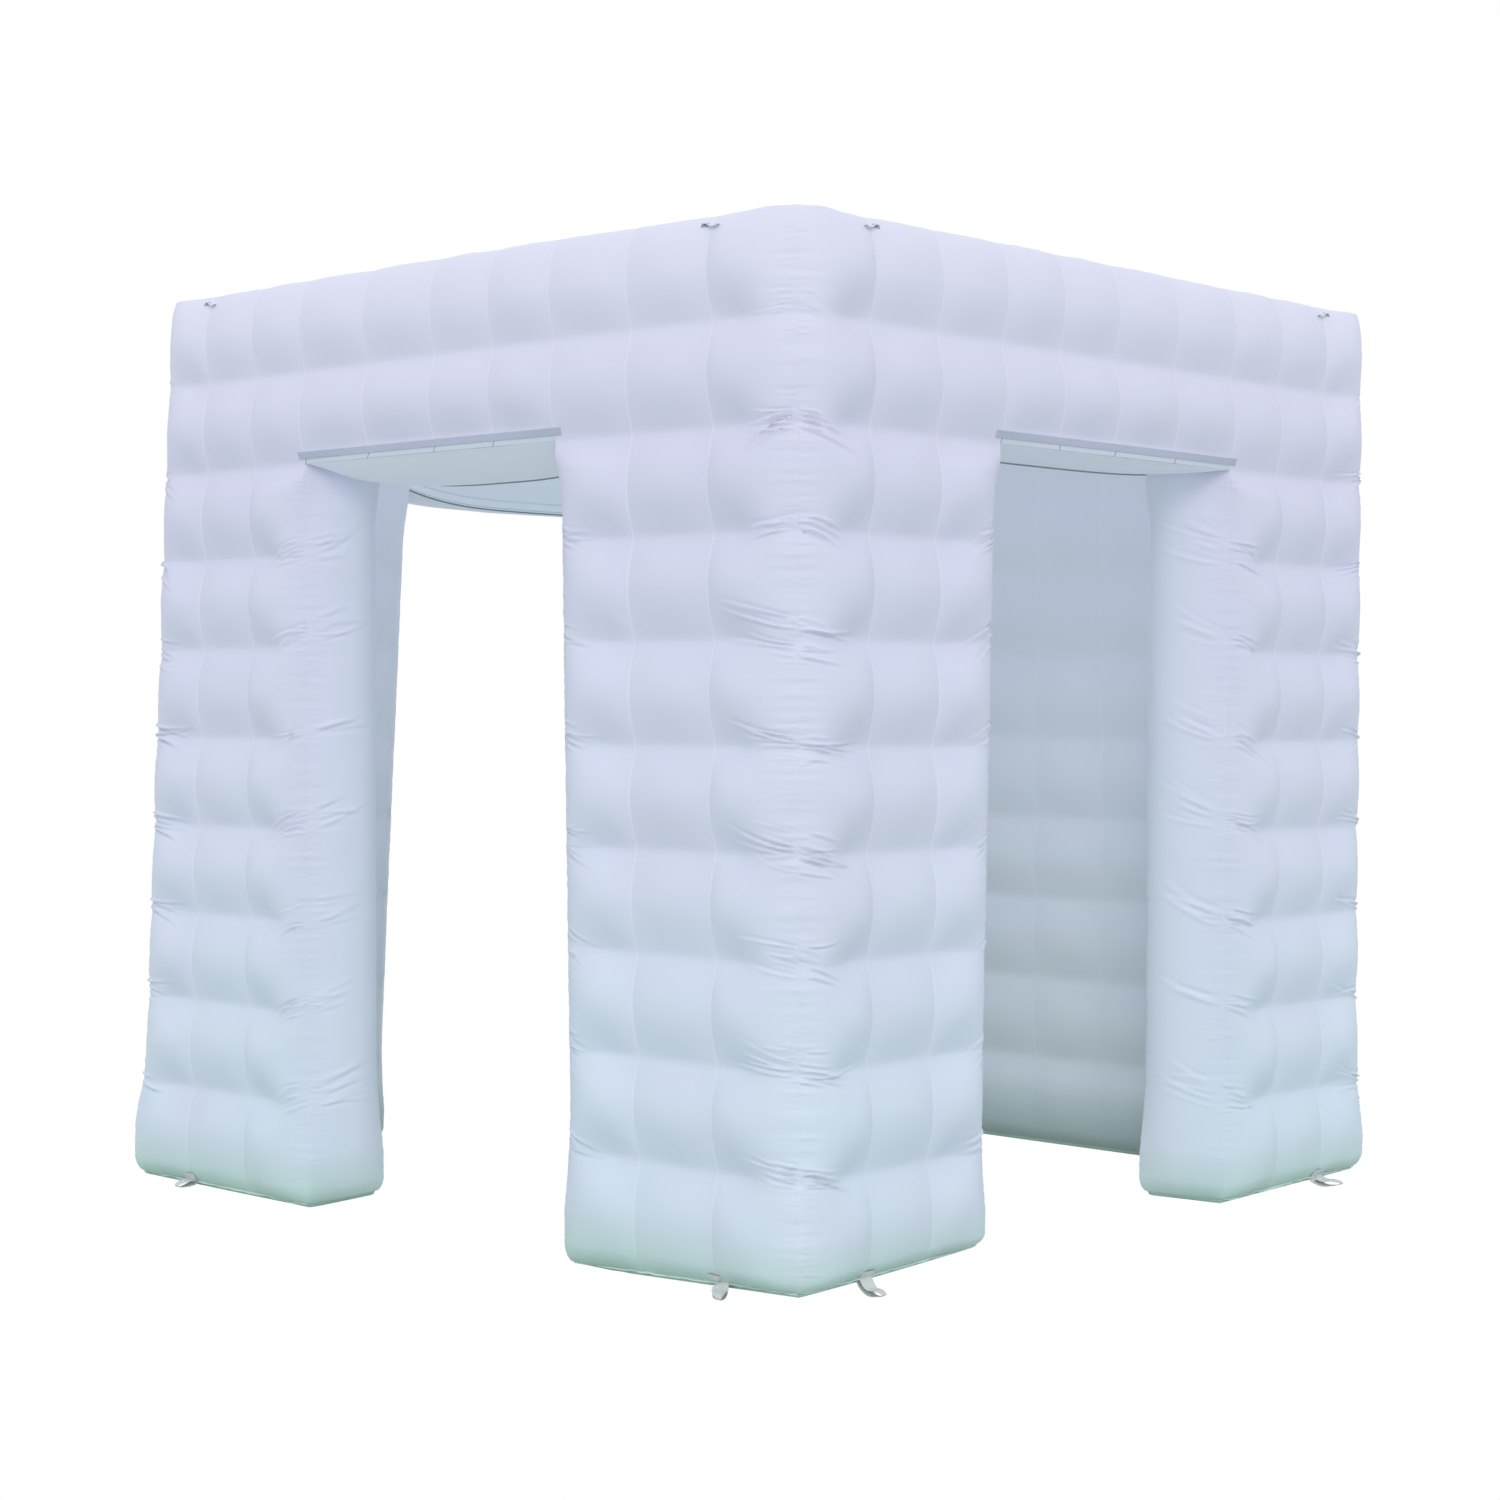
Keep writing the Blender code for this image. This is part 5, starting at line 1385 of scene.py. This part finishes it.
def pile_tape(name, colour, shade):
    """Hook-and-loop tape: a dense pile between two plain edges."""
    tape = Finish(name, colour, 0.95, specular=0.15)
    _, v = tape.pattern()
    pile = tape.noise(1400.0, 3.0, 0.7)
    clumps = tape.noise(160.0, 2.0)
    middle = (TAPE_LEVELS[0] + TAPE_LEVELS[1]) / 2
    edge = ((v - middle).math("ABSOLUTE") / (middle - TAPE_LEVELS[0])).ramp(0.78, 0.86)
    # Darker in the pile's hollows: painted shade
    tone = tape.mix(pile.ramp(0.3, 0.7) * 0.5 + clumps * 0.5, shade, colour)
    tape.colour(tape.mix(edge * 0.6, tone, tinted(colour, 1.12)))
    tape.bump(pile * (1 - 0.8 * edge) + 0.4 * clumps, 0.0012, 0.8)
    return tape.material


def moulded(name, colour, roughness, grain=1200.0):
    """Moulded plastic: fine spark-eroded grain and a little dust."""
    shell = Finish(name, colour, roughness, specular=0.45)
    fine = shell.noise(grain, 2.0)
    dust = shell.noise(14.0, 5.0, 0.65)
    shell.colour(shell.mix(dust.ramp(0.45, 0.8) * 0.55, colour, tinted(colour, 1.6, 0.012)))
    shell.bump(fine, 0.00022, 0.6)
    shell.rough(dust * 0.2 + fine * 0.08 + (roughness - 0.12))
    return shell.material


def brushed(name, colour):
    """Plated metal of the zip: fine lines along it and a few scratches."""
    metal = Finish(name, colour, 0.3, metallic=1.0)
    lines = metal.noise(260.0, 2.0, stretch=(0.15, 1.0, 4.0))
    scratches = metal.noise(90.0, 4.0, 0.7)
    metal.colour(metal.mix(scratches.ramp(0.55, 0.8) * 0.5, colour, tinted(colour, 0.7)))
    metal.rough(lines * 0.18 + scratches * 0.16 + 0.16)
    metal.bump(lines, 0.00006, 0.5)
    return metal.material


def plain_finish(name, colour, roughness):
    """Plain cloth with a fine grain."""
    made = Finish(name, colour, roughness)
    grain = made.noise(300.0, 3.0)
    made.colour(made.mix(grain.ramp(0.3, 0.7), colour, tinted(colour, 1.08)))
    made.rough((grain - 0.5) * 0.2 + roughness)
    made.bump(grain, 0.0002, 0.6)
    return made.material


# Near the roof, near the ground, and along the seams: the tint near the roof is painted sky light and the tint near the
# ground is painted grass bounce
OUTER_TONES = ((0.722, 0.698, 0.872), (0.700, 0.780, 0.895), (0.88, 0.87, 0.96))
INNER_TONES = ((0.712, 0.735, 0.828), (0.690, 0.760, 0.800), (0.80, 0.82, 0.88))
OUTER = quilted_cloth("outer_cloth", *OUTER_TONES)
# Its dark line at the lower edge is a seam darkened with painted shadow; its hem and ticks carry painted shade
LINTEL = quilted_cloth("lintel_cloth", *OUTER_TONES, lines=((DOOR_TOP + 0.0008, 0.0014, 0.5),), painted_shade_ticks=True)
# Darker and greener deep in the doorway: painted shade
JAMB = quilted_cloth("jamb_cloth", *OUTER_TONES, glow=(0.12, 0.10), painted_doorway_shade=(0.705, 0.750, 0.842))
# The dark tone at its foot is painted shade
INNER = quilted_cloth("inner_cloth", *INNER_TONES, glow=(0.045, 0.21), painted_foot_light_and_shade=((0.24, 0.36, 0.32), 0.20))
# Its two dark lines at the lower edge are seams darkened with painted shadow
INNER_LINTEL = quilted_cloth(
    "inner_lintel_cloth", (0.708, 0.768, 0.835), *INNER_TONES[1:], glow=(0.04, 0.26),
    lines=((0.004, 0.003, 0.55), (0.024, 0.003, 0.45)),
)
SOFFIT = quilted_cloth("soffit_cloth", *INNER_TONES, glow=(0.04, 0.17))
# Green-grey foot hem: painted grass bounce and painted shade at the foot
HEM_CLOTH = plain_finish("foot_hem", (0.66, 0.78, 0.75), 0.6)
# Dark piping: painted shadow along the soffits' inner edges
SHADOW_PIPING = plain_finish("piping", (0.25, 0.32, 0.33), 0.8)
# Green-grey under the feet: painted grass reflection and painted shade
GROUND = plain_finish("ground_sheet", (0.47, 0.66, 0.57), 0.7)
WEBBING = woven_strap("webbing", (0.84, 0.86, 0.85), (0.55, 0.58, 0.60))
TAB = woven_strap("tie_tab", (0.46, 0.46, 0.56), (0.20, 0.20, 0.26))
THREAD = woven_strap("thread", (0.78, 0.79, 0.84), (0.60, 0.61, 0.66), pitch=0.0007, depth=0.0001)
TAPE = pile_tape("hook_and_loop", (0.60, 0.62, 0.78), (0.46, 0.48, 0.64))
SHELL = moulded("blower_plastic", (0.020, 0.020, 0.023), 0.45)
FAN = moulded("impeller_plastic", (0.035, 0.035, 0.04), 0.4)
ROCKER = moulded("rocker_plastic", (0.35, 0.012, 0.012), 0.28, grain=400.0)
SCREW = brushed("screw_steel", (0.42, 0.42, 0.43))
ZIP_TAPE = woven_strap("zip_tape", (0.74, 0.76, 0.82), (0.60, 0.62, 0.68), pitch=0.0009, depth=0.0002)
ZIP_METAL = brushed("zip_metal", (0.55, 0.55, 0.57))
WEB = plain_finish("baffle_cloth", (0.75, 0.77, 0.80), 0.7)


def dress(material, *starts):
    """Puts a material on the rigid nodes whose names start so."""
    for name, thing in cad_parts.items():
        if name.startswith(starts):
            for slot in thing.material_slots:
                slot.material = material


SLOTS = {
    **dict.fromkeys((OUTER, LINTEL, JAMB, HEM_CLOTH), "outer_fabric"),
    **dict.fromkeys((INNER, INNER_LINTEL, SOFFIT, SHADOW_PIPING), "inner_fabric"),
    **dict.fromkeys((WEBBING, TAB, THREAD), "webbing"),
    GROUND: "ground_sheet", TAPE: "hook_and_loop", SCREW: "zip_metal",
}


def settle(pieces):
    """Each new piece rides on the booth and stands for its nodes."""
    for thing, nodes in pieces:
        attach(thing, "booth")
        if nodes:
            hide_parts(*nodes)


def build():
    outer, folds = outer_walls(OUTER, LINTEL)
    cloth = outer + jambs(JAMB, folds) + linings(INNER, INNER_LINTEL, SOFFIT) + roof_and_ceiling(OUTER, INNER)
    settle(cloth)
    settle(tapes(TAPE) + soffit_shadow_piping(SHADOW_PIPING) + foot_hems(HEM_CLOTH) + bases(GROUND))
    settle(anchor_loops(WEBBING) + tie_loops(WEBBING, TAB))
    settle([(tape_stitches(THREAD), ()), (loop_stitches(THREAD), ()), (guard_screws(SCREW), ())])
    dress(WEB, "baffle")
    dress(SHELL, "blower_housing", "blower_guard")
    dress(FAN, "blower_impeller")
    dress(ROCKER, "blower_switch")
    dress(ZIP_TAPE, "zip_chain")
    dress(ZIP_METAL, "zip_slider", "zip_pull")


def seen_as_white(tree, real, white, output, glossy=True):
    """Joins a shader to a tree's output, with plain white in its place for the camera, and for reflections too."""
    rays = add_node(tree, "ShaderNodeLightPath", None, {}).outputs
    share = Wire(tree, rays["Is Camera Ray"])
    if glossy:
        share = share.math("MAXIMUM", rays["Is Glossy Ray"])
    mix = add_node(tree, "ShaderNodeMixShader", None, {0: share, 1: real.outputs[0], 2: white.outputs[0]})
    tree.links.new(mix.outputs[0], tree.nodes[output].inputs["Surface"])


FLOOR_REACH = 40.0
FLOOR_TONE = (0.54, 0.625, 0.575)
SKY_TONE = (0.93, 0.975, 1.0, 1)
SKY_STRENGTH = 0.93
LAMP = {"shape": "DISK", "size": 26.0, "energy": 5900.0, "color": (1.0, 0.97, 0.99)}
LAMP_PLACE = (34.0, -36.0, 26.0)
LAMP_AIM = (0, 0, 1.2)
WHITE = (1, 1, 1, 1)


def studio():
    """Pale floor that the camera sees as white, soft sky and one broad lamp behind the camera."""
    scene = bpy.context.scene
    scene.view_settings.view_transform = "Standard"
    floor_mesh = bpy.data.meshes.new("floor")
    corners = [(x * FLOOR_REACH, y * FLOOR_REACH, 0) for x, y in ((-1, -1), (1, -1), (1, 1), (-1, 1))]
    floor_mesh.from_pydata(corners, [], [(0, 1, 2, 3)])
    floor = bpy.data.objects.new("floor", floor_mesh)
    scene.collection.objects.link(floor)
    ground = Finish("floor", FLOOR_TONE, 0.9)
    white = ground.node("ShaderNodeEmission", Color=WHITE)
    seen_as_white(ground.tree, ground.shader, white, "Material Output")
    floor_mesh.materials.append(ground.material)

    scene.world = bpy.data.worlds.new("sky")
    scene.world.use_nodes = True
    tree = scene.world.node_tree
    sky = tree.nodes["Background"]
    sky.inputs["Color"].default_value = SKY_TONE
    sky.inputs["Strength"].default_value = SKY_STRENGTH
    white = add_node(tree, "ShaderNodeBackground", None, {"Color": WHITE})
    seen_as_white(tree, sky, white, "World Output", glossy=False)

    lamp = bpy.data.lights.new("key", "AREA")
    for label, value in LAMP.items():
        setattr(lamp, label, value)
    key = bpy.data.objects.new("key", lamp)
    key.location = LAMP_PLACE
    key.rotation_euler = (Vector(LAMP_AIM) - key.location).to_track_quat("-Z", "Y").to_euler()
    scene.collection.objects.link(key)


# Fitted to the crossings of the quilting: focal length in the photo's pixels, degrees of yaw, pitch and roll,
# and place over the seams of the feet
SENSOR = 36.0
PHOTO_WIDTH = 1500
FOCAL_PIXELS = 2756.4
CAMERA_TURN = (133.166, -0.937, 0.223)
CAMERA_PLACE = (5.4905, -5.9042, 1.3487 + LIFT)


def photo_camera():
    """Stands where the photo was taken from."""
    data = bpy.data.cameras.new("camera")
    data.sensor_width = SENSOR
    data.lens = SENSOR * FOCAL_PIXELS / PHOTO_WIDTH
    camera = bpy.data.objects.new("camera", data)
    bpy.context.scene.collection.objects.link(camera)
    yaw, pitch, roll = (math.radians(a) for a in CAMERA_TURN)
    forward = Vector((math.cos(pitch) * math.cos(yaw), math.cos(pitch) * math.sin(yaw), math.sin(pitch)))
    right = forward.cross(Vector((0, 0, 1))).normalized()
    up = right.cross(forward)
    turned = right * math.cos(roll) + up * math.sin(roll)
    upright = up * math.cos(roll) - right * math.sin(roll)
    place_it = Matrix.Translation(Vector(CAMERA_PLACE) + Vector(PLAN_SHIFT))
    camera.matrix_world = place_it @ Matrix((turned, upright, -forward)).transposed().to_4x4()
    bpy.context.scene.camera = camera


build()
studio()
photo_camera()
